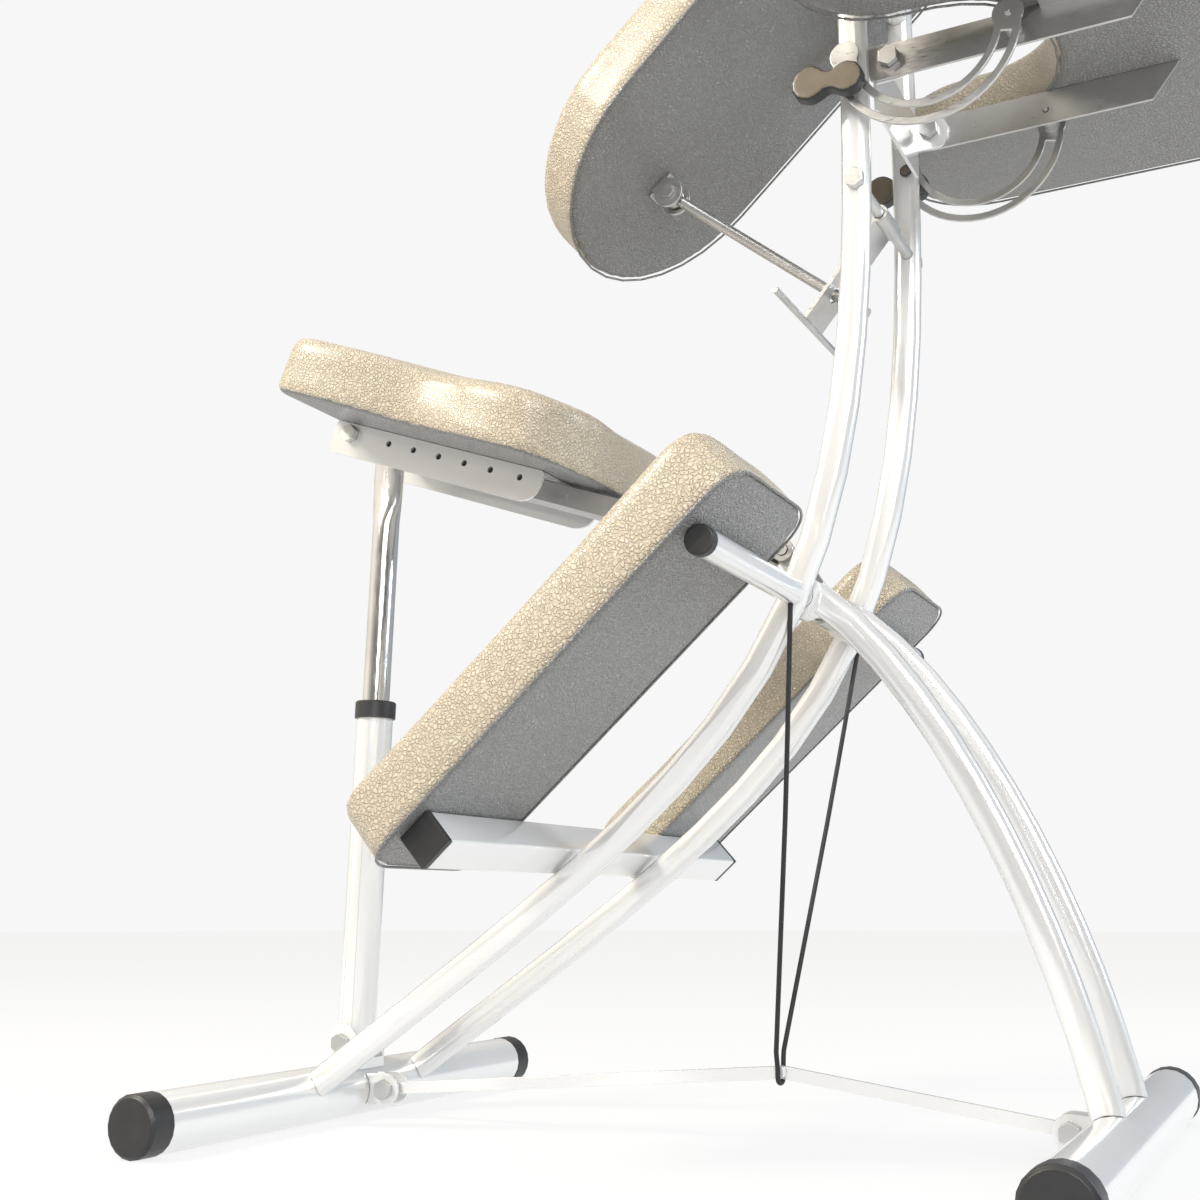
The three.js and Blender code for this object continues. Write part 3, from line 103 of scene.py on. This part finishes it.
def add_piece(name, bm, *materials):
    """An object at the origin from a bmesh, which is used up."""
    mesh = bpy.data.meshes.new(name)
    bm.to_mesh(mesh)
    bm.free()
    for material in materials:
        mesh.materials.append(material)
    piece = bpy.data.objects.new(name, mesh)
    bpy.context.scene.collection.objects.link(piece)
    return piece


def copy_of(*nodes):
    """A bmesh of the named solids, with their loose triangles welded."""
    bm = bmesh.new()
    for node in nodes:
        bm.from_mesh(frame["nodes"][node].data)
    bmesh.ops.remove_doubles(bm, verts=bm.verts, dist=2e-6)
    return bm


def only(piece):
    """Selects one piece, for the few tools that work on the selection."""
    bpy.ops.object.select_all(action="DESELECT")
    piece.select_set(True)
    bpy.context.view_layer.objects.active = piece


# %% [markdown]
# ## The elastic cord
#
# A black elastic cord comes out of the underside of the round cross tube, runs down to the strap's hinge, passes
# under it and climbs back on the other side. It is stretched, so it is a V of two nearly straight runs. The route
# below follows the solid cord of the model: points for one half, and the same points mirrored for the other.

# %% Route of the cord
CORD_R = 0.0017
CROSS_TUBE_R = 0.009
HINGE_Y, HINGE_Z = 0.0652477, 0.0485
cross_low, cross_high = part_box("knee_cross_tube")
cross_y = (cross_low[1] + cross_high[1]) / 2
cross_z = (cross_low[2] + cross_high[2]) / 2
TOP_X, TOP_Z = 0.077, cross_z - CROSS_TUBE_R - CORD_R - 0.0003
cord_half = [
    (TOP_X, cross_y, TOP_Z + 0.002), (0.0439, 0.0415977, 0.2155), (0.0076, HINGE_Y, HINGE_Z + 0.014),
    (0.0056, HINGE_Y, HINGE_Z + 0.003), (0.0056, HINGE_Y, HINGE_Z - 0.003), (0.0040, HINGE_Y, HINGE_Z - 0.006),
]
lowest = (0.0, HINGE_Y, HINGE_Z - 0.0071)
cord_bends = cord_half + [lowest] + [(-x, y, z) for x, y, z in reversed(cord_half)]


def smooth_route(points, steps):
    """Points on a smooth line through the given ones, with the same number of steps between each two."""
    out = []
    ends = [points[0]] + list(points) + [points[-1]]
    for a, b, c, d in zip(ends, ends[1:], ends[2:], ends[3:]):
        a, b, c, d = Vector(a), Vector(b), Vector(c), Vector(d)
        for k in range(steps):
            t = k / steps
            pull = min((c - b).length, (b - a).length or 1, (d - c).length or 1)
            enter = (c - a).normalized() * pull
            leave = (d - b).normalized() * pull
            h00, h10 = 2 * t**3 - 3 * t**2 + 1, t**3 - 2 * t**2 + t
            h01, h11 = -2 * t**3 + 3 * t**2, t**3 - t**2
            out.append(h00 * b + h10 * enter + h01 * c + h11 * leave)
    return out + [Vector(points[-1])]


cord_route = smooth_route(cord_bends, 3)

# %% [markdown]
# A curve becomes a tube when it is given a bevel depth. It is then turned into a mesh.

# %% The cord as a tube
def tube_along(name, points, radius, sides=8, closed=False):
    """A round tube along a line of points, as a mesh with closed ends."""
    curve = bpy.data.curves.new(name, "CURVE")
    curve.dimensions = "3D"
    curve.bevel_depth = radius
    curve.bevel_resolution = max(1, sides // 4)
    curve.use_fill_caps = not closed
    line = curve.splines.new("POLY")
    line.points.add(len(points) - 1)
    for knot, point in zip(line.points, points):
        knot.co = (*point, 1)
    line.use_cyclic_u = closed
    line.use_smooth = True
    piece = bpy.data.objects.new(name, curve)
    bpy.context.scene.collection.objects.link(piece)
    only(piece)
    bpy.ops.object.convert(target="MESH")
    return piece


cord = tube_along("elastic_cord_run", cord_route, CORD_R, sides=12)
ride(cord, "elastic_cord", "elastic_cord")
print("the cord's tube has", len(cord.data.polygons), "faces")

# %% [markdown]
# ## Floor, world and lamps
#
# The chair stands in a white room with no corners. A wide disc is the floor. It glows a little, so that it melts
# into the white behind it and keeps only the faintest shadows.

# %% Floor
FLOOR_R = 9
floor_mesh = bmesh.new()
bmesh.ops.create_circle(floor_mesh, cap_ends=True, segments=96, radius=FLOOR_R)
floor = add_piece("floor", floor_mesh)
floor_paint = bpy.data.materials.new("floor_paint")
floor_paint.use_nodes = True
floor_shader = floor_paint.node_tree.nodes["Principled BSDF"]
floor_shader.inputs["Base Color"].default_value = (0.12, 0.12, 0.12, 1)
floor_shader.inputs["Roughness"].default_value = 1.0
floor_shader.inputs["Specular IOR Level"].default_value = 0.0
floor_shader.inputs["Emission Color"].default_value = (1, 1, 1, 1)
floor_shader.inputs["Emission Strength"].default_value = 0.82
floor.data.materials.append(floor_paint)
print("the floor is", 2 * FLOOR_R, "m across")

# %% [markdown]
# The world is plain white where the camera sees it. For everything else it is brighter and warmer on one side
# than on the other, and dimmer ahead: glossy paint only looks glossy when it has something uneven to reflect.

# %% World
TO_LEFT = Vector((-0.452, 0.892, 0.0))      # across the view, to its left
TO_VIEWER = Vector((-0.892, -0.452, 0.0))   # from the chair towards the camera
world = bpy.data.worlds.new("white_room")
bpy.context.scene.world = world
world.use_nodes = True
sky = world.node_tree
sky.nodes.clear()
direction = sky.nodes.new("ShaderNodeTexCoord")
towards = sky.nodes.new("ShaderNodeVectorMath")
towards.operation = "DOT_PRODUCT"
towards.inputs[1].default_value = (TO_LEFT * 0.75 + TO_VIEWER * 0.1 + Vector((0, 0, 0.65))).normalized()
ramp = sky.nodes.new("ShaderNodeMapRange")
ramp.inputs["From Min"].default_value = -1
tint = sky.nodes.new("ShaderNodeValToRGB")
tint.color_ramp.elements[0].color = (0.50, 0.54, 0.60, 1)
tint.color_ramp.elements[1].color = (1.25, 1.15, 1.0, 1)
middle = tint.color_ramp.elements.new(0.45)
middle.color = (0.36, 0.365, 0.38, 1)
ahead = sky.nodes.new("ShaderNodeVectorMath")
ahead.operation = "DOT_PRODUCT"
ahead.inputs[1].default_value = TO_VIEWER.normalized()
dim = sky.nodes.new("ShaderNodeMapRange")
dim.interpolation_type = "SMOOTHSTEP"
dim.inputs["From Min"].default_value = -0.1
dim.inputs["From Max"].default_value = 0.9
dim.inputs["To Min"].default_value = 1.0
dim.inputs["To Max"].default_value = 0.28
seen = sky.nodes.new("ShaderNodeLightPath")
glow = sky.nodes.new("ShaderNodeBackground")
plain = sky.nodes.new("ShaderNodeBackground")
plain.inputs["Color"].default_value = (0.93, 0.93, 0.93, 1)
pick = sky.nodes.new("ShaderNodeMixShader")
output = sky.nodes.new("ShaderNodeOutputWorld")
for start, end in (
    (direction.outputs["Generated"], towards.inputs[0]), (towards.outputs["Value"], ramp.inputs["Value"]),
    (ramp.outputs["Result"], tint.inputs["Fac"]), (tint.outputs["Color"], glow.inputs["Color"]),
    (direction.outputs["Generated"], ahead.inputs[0]), (ahead.outputs["Value"], dim.inputs["Value"]),
    (dim.outputs["Result"], glow.inputs["Strength"]),
    (seen.outputs["Is Camera Ray"], pick.inputs["Fac"]), (glow.outputs["Background"], pick.inputs[1]),
    (plain.outputs["Background"], pick.inputs[2]), (pick.outputs["Shader"], output.inputs["Surface"]),
):
    sky.links.new(start, end)
print("the world has", len(sky.nodes), "nodes")

# %% [markdown]
# Four round lamps do the rest: a warm window on the left, a cool one on the right, a broad soft lamp behind the
# camera that hardly shows in the gloss, and a skylight. Each is placed from the middle of the chair.

# %% Lamps
def softbox(name, place, aim, size, watts, colour, glint=1.0):
    """A round lamp of a given width, aimed at a point. Glint is its share in reflections."""
    lamp = bpy.data.lights.new(name, "AREA")
    lamp.shape = "DISK"
    lamp.size = size
    lamp.energy = watts
    lamp.color = colour
    lamp.specular_factor = glint
    holder = bpy.data.objects.new(name, lamp)
    holder.location = place
    holder.rotation_euler = (Vector(aim) - Vector(place)).to_track_quat("-Z", "Y").to_euler()
    bpy.context.scene.collection.objects.link(holder)


MIDDLE = Vector((0, 0.05, 0.6))
UP = Vector((0, 0, 1))
WARM, COOL, WHITE = (1, 0.94, 0.83), (0.76, 0.89, 1), (1, 1, 1)
softbox("window_left", MIDDLE + TO_LEFT * 1.9 + TO_VIEWER * 0.7 + UP * 1.3, MIDDLE, 0.7, 58, WARM)
softbox("window_right", MIDDLE - TO_LEFT * 2.0 + TO_VIEWER * 0.2 + UP * 0.5, MIDDLE, 0.8, 26, COOL)
softbox("front_fill", MIDDLE + TO_VIEWER * 2.4 + UP * 0.9, MIDDLE, 1.6, 52, WHITE, 0.15)
softbox("skylight", MIDDLE + UP * 2.4, MIDDLE, 2.2, 10, WHITE)
bpy.context.scene.view_settings.view_transform = "Standard"

# %% [markdown]
# ## Finishes
#
# Each finish is one material built from nodes. All of them read Object coordinates, which are metres here, so
# a scale of 200 on a pattern means cells of 5 mm. `finish` makes the shader, `node` makes a node and sets its
# sockets, and `wire` links pairs of sockets. `noise`, `spread`, `relief` and `blend_colours` are the steps that
# come back in every recipe.

# %% Helpers for finishes
def finish(name, colour, rough, **sockets):
    """A material, its node tree and its shader, with the named sockets set."""
    material = bpy.data.materials.new(name)
    material.use_nodes = True
    shader = material.node_tree.nodes["Principled BSDF"]
    shader.inputs["Base Color"].default_value = (*colour, 1)
    shader.inputs["Roughness"].default_value = rough
    for socket, value in sockets.items():
        shader.inputs[socket.replace("_", " ").title()].default_value = value
    return material, material.node_tree, shader


def node(tree, kind, **inputs):
    made = tree.nodes.new("ShaderNode" + kind)
    for socket, value in inputs.items():
        made.inputs[socket.replace("_", " ").title()].default_value = value
    return made


def wire(tree, *pairs):
    for start, end in pairs:
        tree.links.new(start, end)


def noise(tree, coords, scale, detail=2.0, stretch=(1, 1, 1)):
    """A soft cloud of values round 0.5. A small stretch draws it out along that axis."""
    mapping = node(tree, "Mapping")
    mapping.inputs["Scale"].default_value = stretch
    cloud = node(tree, "TexNoise", scale=scale, detail=detail)
    wire(tree, (coords, mapping.inputs["Vector"]), (mapping.outputs["Vector"], cloud.inputs["Vector"]))
    return cloud.outputs["Fac"]


def spread(tree, value, low, high, from_low=0.3, from_high=0.7, soft=False):
    """Maps a pattern to a range of values."""
    ramp = node(tree, "MapRange", from_min=from_low, from_max=from_high, to_min=low, to_max=high)
    ramp.interpolation_type = "SMOOTHSTEP" if soft else "LINEAR"
    wire(tree, (value, ramp.inputs["Value"]))
    return ramp.outputs["Result"]


def relief(tree, shader, height, strength, depth):
    """Bumps of a given depth, in metres."""
    bump = node(tree, "Bump", strength=strength, distance=depth)
    wire(tree, (height, bump.inputs["Height"]), (bump.outputs["Normal"], shader.inputs["Normal"]))


FACTOR, FIRST_COLOUR, SECOND_COLOUR, COLOUR_OUT = 0, 6, 7, 2   # a Mix node's sockets for colours


def blend_colours(tree, factor, first, second):
    mix = tree.nodes.new("ShaderNodeMix")
    mix.data_type = "RGBA"
    mix.inputs[FIRST_COLOUR].default_value = (*first, 1)
    mix.inputs[SECOND_COLOUR].default_value = (*second, 1)
    wire(tree, (factor, mix.inputs[FACTOR]))
    return mix.outputs[COLOUR_OUT]


print("helpers for finishes ready")

# %% [markdown]
# Leather first, because it covers most of the chair. Pebbled leather is a net of creases between raised cells.
# A Voronoi pattern's distance to its edges gives just that: low lines at the creases and a plateau between
# them. The creases are also coloured darker, which is painted shade in them. The coordinates are shaken by a
# soft noise first, because real pebbles are never straight-sided.

# %% Leather
def leather(name, light, crease_shade, cell, depth, rough, coat):
    """Pebbled leather with cells of a given width, and creases of a given depth and a darker colour of painted
    shade.
    """
    material, tree, shader = finish(name, light, rough, coat_weight=coat, coat_roughness=0.32)
    coords = node(tree, "TexCoord").outputs["Object"]
    shake = node(tree, "TexNoise", scale=0.55 / cell, detail=2.0)
    shift = tree.nodes.new("ShaderNodeVectorMath")
    shift.operation = "MULTIPLY_ADD"
    shift.inputs[1].default_value = (cell * 1.1,) * 3
    pebbles = node(tree, "TexVoronoi", scale=1 / cell)
    pebbles.feature = "DISTANCE_TO_EDGE"
    wire(tree, (coords, shake.inputs["Vector"]), (shake.outputs["Color"], shift.inputs[0]),
         (coords, shift.inputs[2]), (shift.outputs["Vector"], pebbles.inputs["Vector"]))
    plateau = spread(tree, pebbles.outputs["Distance"], 0, 1, 0.0, 0.24, soft=True)
    fine = noise(tree, coords, 3.2 / cell, 3.0)
    height = node(tree, "Math")
    height.operation = "MULTIPLY_ADD"
    height.inputs[1].default_value = 0.15
    wire(tree, (fine, height.inputs[0]), (plateau, height.inputs[2]))
    relief(tree, shader, height.outputs["Value"], 1.0, depth)
    worn = noise(tree, coords, 9.0, 3.0)
    # Painted shade: the creases get the darker colour, and the worn noise adds a random tone on top.
    crease_shade_and_tone = node(tree, "Math")
    crease_shade_and_tone.operation = "MULTIPLY"
    wire(tree, (spread(tree, plateau, 0.55, 1, 0, 0.6), crease_shade_and_tone.inputs[0]),
         (spread(tree, worn, 0.8, 1.0), crease_shade_and_tone.inputs[1]))
    colour = blend_colours(tree, crease_shade_and_tone.outputs["Value"], crease_shade, light)
    wire(tree, (colour, shader.inputs["Base Color"]),
         (spread(tree, plateau, rough + 0.14, rough - 0.04, 0, 1), shader.inputs["Roughness"]))
    return material


# The second colour of each is the painted shade in its creases.
cream_leather = leather("cream_leather", light=(0.545, 0.472, 0.36), crease_shade=(0.40, 0.335, 0.24),
                        cell=0.0028, depth=0.00085, rough=0.3, coat=0.45)
back_vinyl = leather("back_vinyl", light=(0.245, 0.242, 0.234), crease_shade=(0.17, 0.165, 0.156),
                     cell=0.0028, depth=0.0009, rough=0.27, coat=0.6)
print("leather and vinyl ready")

# %% [markdown]
# The frame is powder-coated white: a thick, glossy coat with a faint orange-peel ripple. The fittings are steel
# with a fine brushed grain, the bolts are zinc, and the plugs are black plastic with a moulded grain.

# %% Paint, steel and plastic
def paint():
    material, tree, shader = finish("white_powder_coat", (0.82, 0.82, 0.81), 0.17, metallic=0.4,
                                    coat_weight=0.7, coat_roughness=0.07)
    coords = node(tree, "TexCoord").outputs["Object"]
    ripple = noise(tree, coords, 420.0, 2.0)
    relief(tree, shader, ripple, 0.05, 0.0002)
    dust = noise(tree, coords, 5.0, 2.0)
    colour = blend_colours(tree, spread(tree, dust, 0, 1), (0.805, 0.805, 0.8), (0.83, 0.83, 0.82))
    wire(tree, (colour, shader.inputs["Base Color"]),
         (spread(tree, dust, 0.16, 0.21), shader.inputs["Roughness"]))
    return material


def brushed(name, colour, rough, stretch, depth=0.00006):
    """Bare metal with a fine grain, drawn out along the axis whose stretch is small."""
    material, tree, shader = finish(name, colour, rough, metallic=1.0)
    coords = node(tree, "TexCoord").outputs["Object"]
    grain = noise(tree, coords, 900.0, 3.0, stretch)
    relief(tree, shader, grain, 0.25, depth)
    darker = [c * 0.86 for c in colour]
    toned = blend_colours(tree, spread(tree, noise(tree, coords, 30.0, 4.0), 0, 1), darker, colour)
    wire(tree, (toned, shader.inputs["Base Color"]),
         (spread(tree, grain, rough - 0.06, rough + 0.1), shader.inputs["Roughness"]))
    return material


def moulded(name, colour, lighter, rough, grain_scale=1400.0):
    """Matt plastic or rubber with a fine moulded grain and a slightly uneven colour."""
    material, tree, shader = finish(name, colour, rough, coat_weight=0.1, coat_roughness=0.3)
    coords = node(tree, "TexCoord").outputs["Object"]
    grain = noise(tree, coords, grain_scale, 3.0)
    relief(tree, shader, grain, 0.3, 0.00018)
    toned = blend_colours(tree, spread(tree, noise(tree, coords, 60.0, 3.0), 0, 1), colour, lighter)
    wire(tree, (toned, shader.inputs["Base Color"]),
         (spread(tree, grain, rough - 0.05, rough + 0.1), shader.inputs["Roughness"]))
    return material


finishes = {
    "white_paint": paint(),
    "chrome": brushed("polished_tube", (0.82, 0.82, 0.81), 0.16, (1, 1, 0.1), 0.00002),
    "brushed_steel": brushed("brushed_steel", (0.60, 0.595, 0.58), 0.33, (1, 0.12, 1)),
    "zinc": brushed("zinc_plate", (0.66, 0.66, 0.65), 0.34, (1, 1, 1)),
    "black_plastic": moulded("black_plastic", (0.012, 0.012, 0.013), (0.022, 0.022, 0.023), 0.42),
    # The lever's brown is a painted reflection of the warm window lamp on its black plastic faces.
    "lever_plastic": moulded("lever_plastic", (0.13, 0.105, 0.07), (0.17, 0.14, 0.1), 0.36),
    "leather": cream_leather,
    "back_cover": back_vinyl,
    "cord": moulded("elastic_cover", (0.008, 0.008, 0.009), (0.018, 0.018, 0.02), 0.62, 2600.0),
}
cord.data.materials.append(finishes["cord"])
print(len(finishes), "finishes")

# %% [markdown]
# ## Steel parts
#
# The model's tubes and plates have the right shapes, but their edges are razor-sharp and their rounds are
# many-sided. Real sheet metal is tumbled and painted, so its edges catch a thin line of light. A welded copy of
# each solid gets its flat facets joined, its sharp edges broken by half a millimetre, and its gentle folds
# shaded smooth. Sharp edges are the ones that turn by more than a set angle. The two cam levers are moulded
# grips, so they are remeshed and rounded instead.

# %% Break the edges of the steel
BROKEN_EDGE = 0.0005
SHARP = math.radians(38)


def refined(name):
    """A copy of one hard solid with broken edges and smooth rounds."""
    bm = copy_of(name)
    bmesh.ops.dissolve_limit(bm, angle_limit=math.radians(0.6), verts=bm.verts, edges=bm.edges)
    piece = add_piece(name + "_finished", bm, finishes[slot_of_node[name]])
    only(piece)
    bpy.ops.object.shade_smooth_by_angle(angle=SHARP)
    broken = piece.modifiers.new("broken_edges", "BEVEL")
    broken.width = BROKEN_EDGE
    broken.segments = 2
    broken.limit_method = "ANGLE"
    broken.angle_limit = SHARP
    broken.use_clamp_overlap = True
    broken.harden_normals = True
    bpy.ops.object.modifier_apply(modifier="broken_edges")
    return ride(piece, name, name)


def lever_body(name):
    """A moulded grip: the plain solid is remeshed fine and rounded, and its two flat faces get a painted
    reflection.
    """
    piece = add_piece(name + "_moulded", copy_of(name))
    remesh = piece.modifiers.new("fine", "REMESH")
    remesh.mode = "VOXEL"
    remesh.voxel_size = 0.0009
    only(piece)
    bpy.ops.object.modifier_apply(modifier="fine")
    bm = bmesh.new()
    bm.from_mesh(piece.data)
    for _ in range(7):
        bmesh.ops.smooth_vert(bm, verts=bm.verts, factor=0.5,
                              use_axis_x=True, use_axis_y=True, use_axis_z=True)
    bm.to_mesh(piece.data)
    bm.free()
    piece.data.materials.append(finishes["black_plastic"])
    piece.data.materials.append(finishes["lever_plastic"])
    for face in piece.data.polygons:
        face.use_smooth = True
        # The flat faces get the brown painted reflection; the rest stays black.
        face.material_index = 1 if abs(face.normal.x) > 0.93 else 0
    return ride(piece, name, name)


LEVERS = ["cam_lever_left", "cam_lever_right"]
for name in LEVERS:
    print(name, len(lever_body(name).data.polygons), "faces")

MADE_ELSEWHERE = {"knee_pad_left", "knee_pad_right", "seat_pad", "seat_board", "armrest_pad", "armrest_board",
                  "chest_pad", "chest_board", "face_cushion", "elastic_cord"} | set(LEVERS)
steel = [refined(name) for name in sorted(frame["nodes"]) if name not in MADE_ELSEWHERE]
print(len(steel), "hard pieces,", sum(len(p.data.polygons) for p in steel), "faces")

# %% [markdown]
# The spare holes of the seat bracket look black, because the channel behind them lies in deep shade. Thin black
# blanks just inside each wall paint that shade. The row of holes starts at the seat bolt and runs down the
# bracket's slope.

# %% Painted shade behind the spare holes
SEAT_SLOPE = math.radians(20)
FIRST_HOLE, HOLE_STEP, LAST_HOLE = 0.0394, 0.0255, 0.1692   # from the seat bolt
BLANK_R, BLANK_THICK, BLANK_BEHIND = 0.0034, 0.001, 0.0031
bolt_low, bolt_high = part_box("seat_bolt")
seat_bolt = Vector([(a + b) / 2 for a, b in zip(bolt_low, bolt_high)])
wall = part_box("seat_bracket")[1][0]
down_slope = Vector((0, -math.cos(SEAT_SLOPE), -math.sin(SEAT_SLOPE)))
blanks = bmesh.new()
for along in [FIRST_HOLE + HOLE_STEP * k for k in range(5)] + [LAST_HOLE]:
    for side in (-1, 1):
        centre = seat_bolt + down_slope * along
        centre.x = side * (wall - BLANK_BEHIND)
        turned = Matrix.Translation(centre) @ Matrix.Rotation(math.pi / 2, 4, "Y")
        bmesh.ops.create_cone(blanks, cap_ends=True, segments=16, radius1=BLANK_R, radius2=BLANK_R,
                              depth=BLANK_THICK, matrix=turned)
# Black blanks that are painted shade inside the holes.
spare_hole_shade_blanks = add_piece("spare_hole_shade_blanks", blanks, finishes["black_plastic"])
ride(spare_hole_shade_blanks, "seat_bracket")
print(len(spare_hole_shade_blanks.data.polygons), "faces of blanks")

# %% [markdown]
# ## Pads
#
# A pad is foam on a plywood board under stretched leather. The outline stays crisp, because the board holds it,
# and the front swells between the edges. That is a job for a cloth simulation with pressure: the copy is
# remeshed to even squares, its back face is pinned to the board, and air pressure lifts the rest. Only the shape
# of that swelling is kept: its height is scaled to the pad's own crown, its sideways part is capped, and it is
# evened out, so the pad keeps its size.

# %% Swell a pad
def coordinates(mesh):
    flat = np.empty(len(mesh.vertices) * 3)
    mesh.vertices.foreach_get("co", flat)
    return flat.reshape(-1, 3)


def inflated(pad, board, pressure, frames):
    """Runs the cloth under pressure, with the board's points held."""
    pad.vertex_groups.new(name="board").add([int(i) for i in board], 1.0, "ADD")
    cloth = pad.modifiers.new("stretched_leather", "CLOTH")
    cloth.settings.vertex_group_mass = "board"
    cloth.settings.use_pressure = True
    cloth.settings.uniform_pressure_force = pressure
    cloth.settings.tension_stiffness = 25
    cloth.settings.compression_stiffness = 25
    cloth.settings.quality = 4
    cloth.settings.effector_weights.gravity = 0
    cloth.collision_settings.use_self_collision = False
    cloth.point_cache.frame_start = 1
    cloth.point_cache.frame_end = frames
    for step in range(1, frames + 1):
        bpy.context.scene.frame_set(step)
    only(pad)
    bpy.ops.object.modifier_apply(modifier="stretched_leather")
    bpy.context.scene.frame_set(1)
    pad.vertex_groups.clear()


def evened_out(values, edges, rounds):
    """Averages each point's value with its neighbours', so that the swelling has no lumps."""
    count = np.bincount(edges.ravel(), minlength=len(values)).reshape(-1, 1)
    for _ in range(rounds):
        total = np.zeros_like(values)
        np.add.at(total, edges[:, 0], values[edges[:, 1]])
        np.add.at(total, edges[:, 1], values[edges[:, 0]])
        values = 0.5 * values + 0.5 * total / np.maximum(count, 1)
    return values


VOXEL = 0.0045
PRESSURE = 4.0
FRAMES = 20
EVENING_ROUNDS = 14


def swollen(name, nodes, tilt, side_cap, crown):
    """A swollen copy of the named solids. It is laid level for the work, then tilted back."""
    level = Matrix.Rotation(math.radians(tilt), 4, "X")
    bm = copy_of(*nodes)
    bmesh.ops.transform(bm, matrix=level, verts=bm.verts)
    pad = add_piece(name, bm)
    remesh = pad.modifiers.new("even_squares", "REMESH")
    remesh.mode = "VOXEL"
    remesh.voxel_size = VOXEL
    only(pad)
    bpy.ops.object.modifier_apply(modifier="even_squares")
    edges = np.empty(len(pad.data.edges) * 2, int)
    pad.data.edges.foreach_get("vertices", edges)
    edges = edges.reshape(-1, 2)
    rest = coordinates(pad.data)
    board = np.nonzero(rest[:, 2] < rest[:, 2].min() + VOXEL * 1.2)[0]
    smooth = evened_out(rest, edges, 1)
    inflated(pad, board, PRESSURE, FRAMES)
    moved = coordinates(pad.data) - rest
    sideways = np.linalg.norm(moved[:, :2], axis=1, keepdims=True)
    moved[:, :2] *= np.minimum(1, side_cap / np.maximum(sideways, 1e-9))
    moved[:, 2] *= crown / moved[:, 2].max()
    moved[board] = 0
    moved = evened_out(moved, edges, EVENING_ROUNDS)
    smooth += moved
    print(name, "crown of", round(float(moved[:, 2].max()) * 1000, 1), "mm")
    smooth[board, 2] = rest[board, 2]
    pad.data.vertices.foreach_set("co", smooth.ravel())
    pad.data.transform(level.inverted())
    pad.data.update()
    return pad


print("helpers for pads ready")

# %% [markdown]
# Each pad lies at its own tilt, has its own crown, and stands for its foam and the board inside it. The leather
# is on every face but those that look backwards, which have the vinyl.

# %% Make the pads
def cover(pad, node, back, *stands_for):
    """Leather on the front and sides, vinyl on the back, and one subdivision."""
    back = Vector(back).normalized()
    pad.data.materials.append(finishes["leather"])
    pad.data.materials.append(finishes["back_cover"])
    for face in pad.data.polygons:
        face.use_smooth = True
        face.material_index = 1 if face.normal.dot(back) > 0.75 else 0
    finer = pad.modifiers.new("finer", "SUBSURF")
    finer.levels = finer.render_levels = 1
    ride(pad, node, *stands_for)
    return pad


def behind(tilt):
    """The direction behind a pad that leans by an angle."""
    a = math.radians(tilt)
    return (0, -math.sin(a), -math.cos(a))


KNEE_TILT, CHEST_TILT, SEAT_TILT, FACE_TILT = 41.7, 42, -20, 28
PADS = [  # name, tilt in degrees, cap on the sides, crown, solids
    ("knee_cushion_left", KNEE_TILT, 0.001, 0.005, ["knee_pad_left"]),
    ("knee_cushion_right", KNEE_TILT, 0.001, 0.005, ["knee_pad_right"]),
    ("seat_cushion", SEAT_TILT, 0.0015, 0.013, ["seat_pad", "seat_board"]),
    ("arm_cushion", 0, 0.0015, 0.008, ["armrest_pad", "armrest_board"]),
    ("chest_cushion", CHEST_TILT, 0.0015, 0.008, ["chest_pad", "chest_board"]),
    ("face_ring_cushion", FACE_TILT, 0.003, 0.006, ["face_cushion"]),
]
pads = {}
for name, tilt, side_cap, crown, nodes in PADS:
    pads[name] = cover(swollen(name, nodes, tilt, side_cap, crown), nodes[0], behind(tilt), *nodes)
for name, pad in pads.items():
    print(name, len(pad.data.polygons), "squares")

# %% [markdown]
# ## Seams
#
# The leather of the sides meets the vinyl of the back in a piped seam along the board's edge. The solid pads
# have that edge already, as the rim of their flat back, so the seam is taken from there: the longest closed
# line of rim edges becomes a thin cord. The seat is turned under without piping, so it is left out.

# %% Piping along the back edges
def back_rim(name, back):
    """The points of the longest closed line round a pad's flat back, in order."""
    back = Vector(back).normalized()
    bm = copy_of(name)
    level = max(v.co.dot(back) for v in bm.verts)
    rim = [e for e in bm.edges if all(v.co.dot(back) > level - 2e-4 for v in e.verts)
           and len(e.link_faces) == 2 and e.calc_face_angle(0) > 0.6
           and max(f.normal.dot(back) for f in e.link_faces) > 0.9]
    loops = []
    while rim:
        edge = rim.pop()
        line = [edge.verts[0], edge.verts[1]]
        while True:
            step = next((e for e in rim if line[-1] in e.verts), None)
            if step is None:
                break
            rim.remove(step)
            line.append(step.other_vert(line[-1]))
        loops.append([v.co.copy() for v in (line[:-1] if line[0] == line[-1] else line)])
    bm.free()
    return max(loops, key=lambda line: sum((b - a).length for a, b in zip(line, line[1:])))


def evened(line, step):
    """The same closed line with a point every few millimetres."""
    out = []
    for a, b in zip(line, line[1:] + line[:1]):
        count = max(1, round((b - a).length / step))
        out += [a.lerp(b, k / count) for k in range(count)]
    return out


PIPING_R, PIPING_INSET, PIPING_STEP = 0.0009, 0.0006, 0.006
for _, tilt, _, _, (foam, *_) in PADS:
    if foam == "seat_pad":
        continue
    back = Vector(behind(tilt))
    line = evened(back_rim(foam, back), PIPING_STEP)
    inset = [p - back * PIPING_INSET for p in line]
    piping = tube_along(foam + "_piping", inset, PIPING_R, sides=8, closed=True)
    piping.data.materials.append(finishes["back_cover"])
    ride(piping, foam)
    print(foam, "piping of", len(line), "points")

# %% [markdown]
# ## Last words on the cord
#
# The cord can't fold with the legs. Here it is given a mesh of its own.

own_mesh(cord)
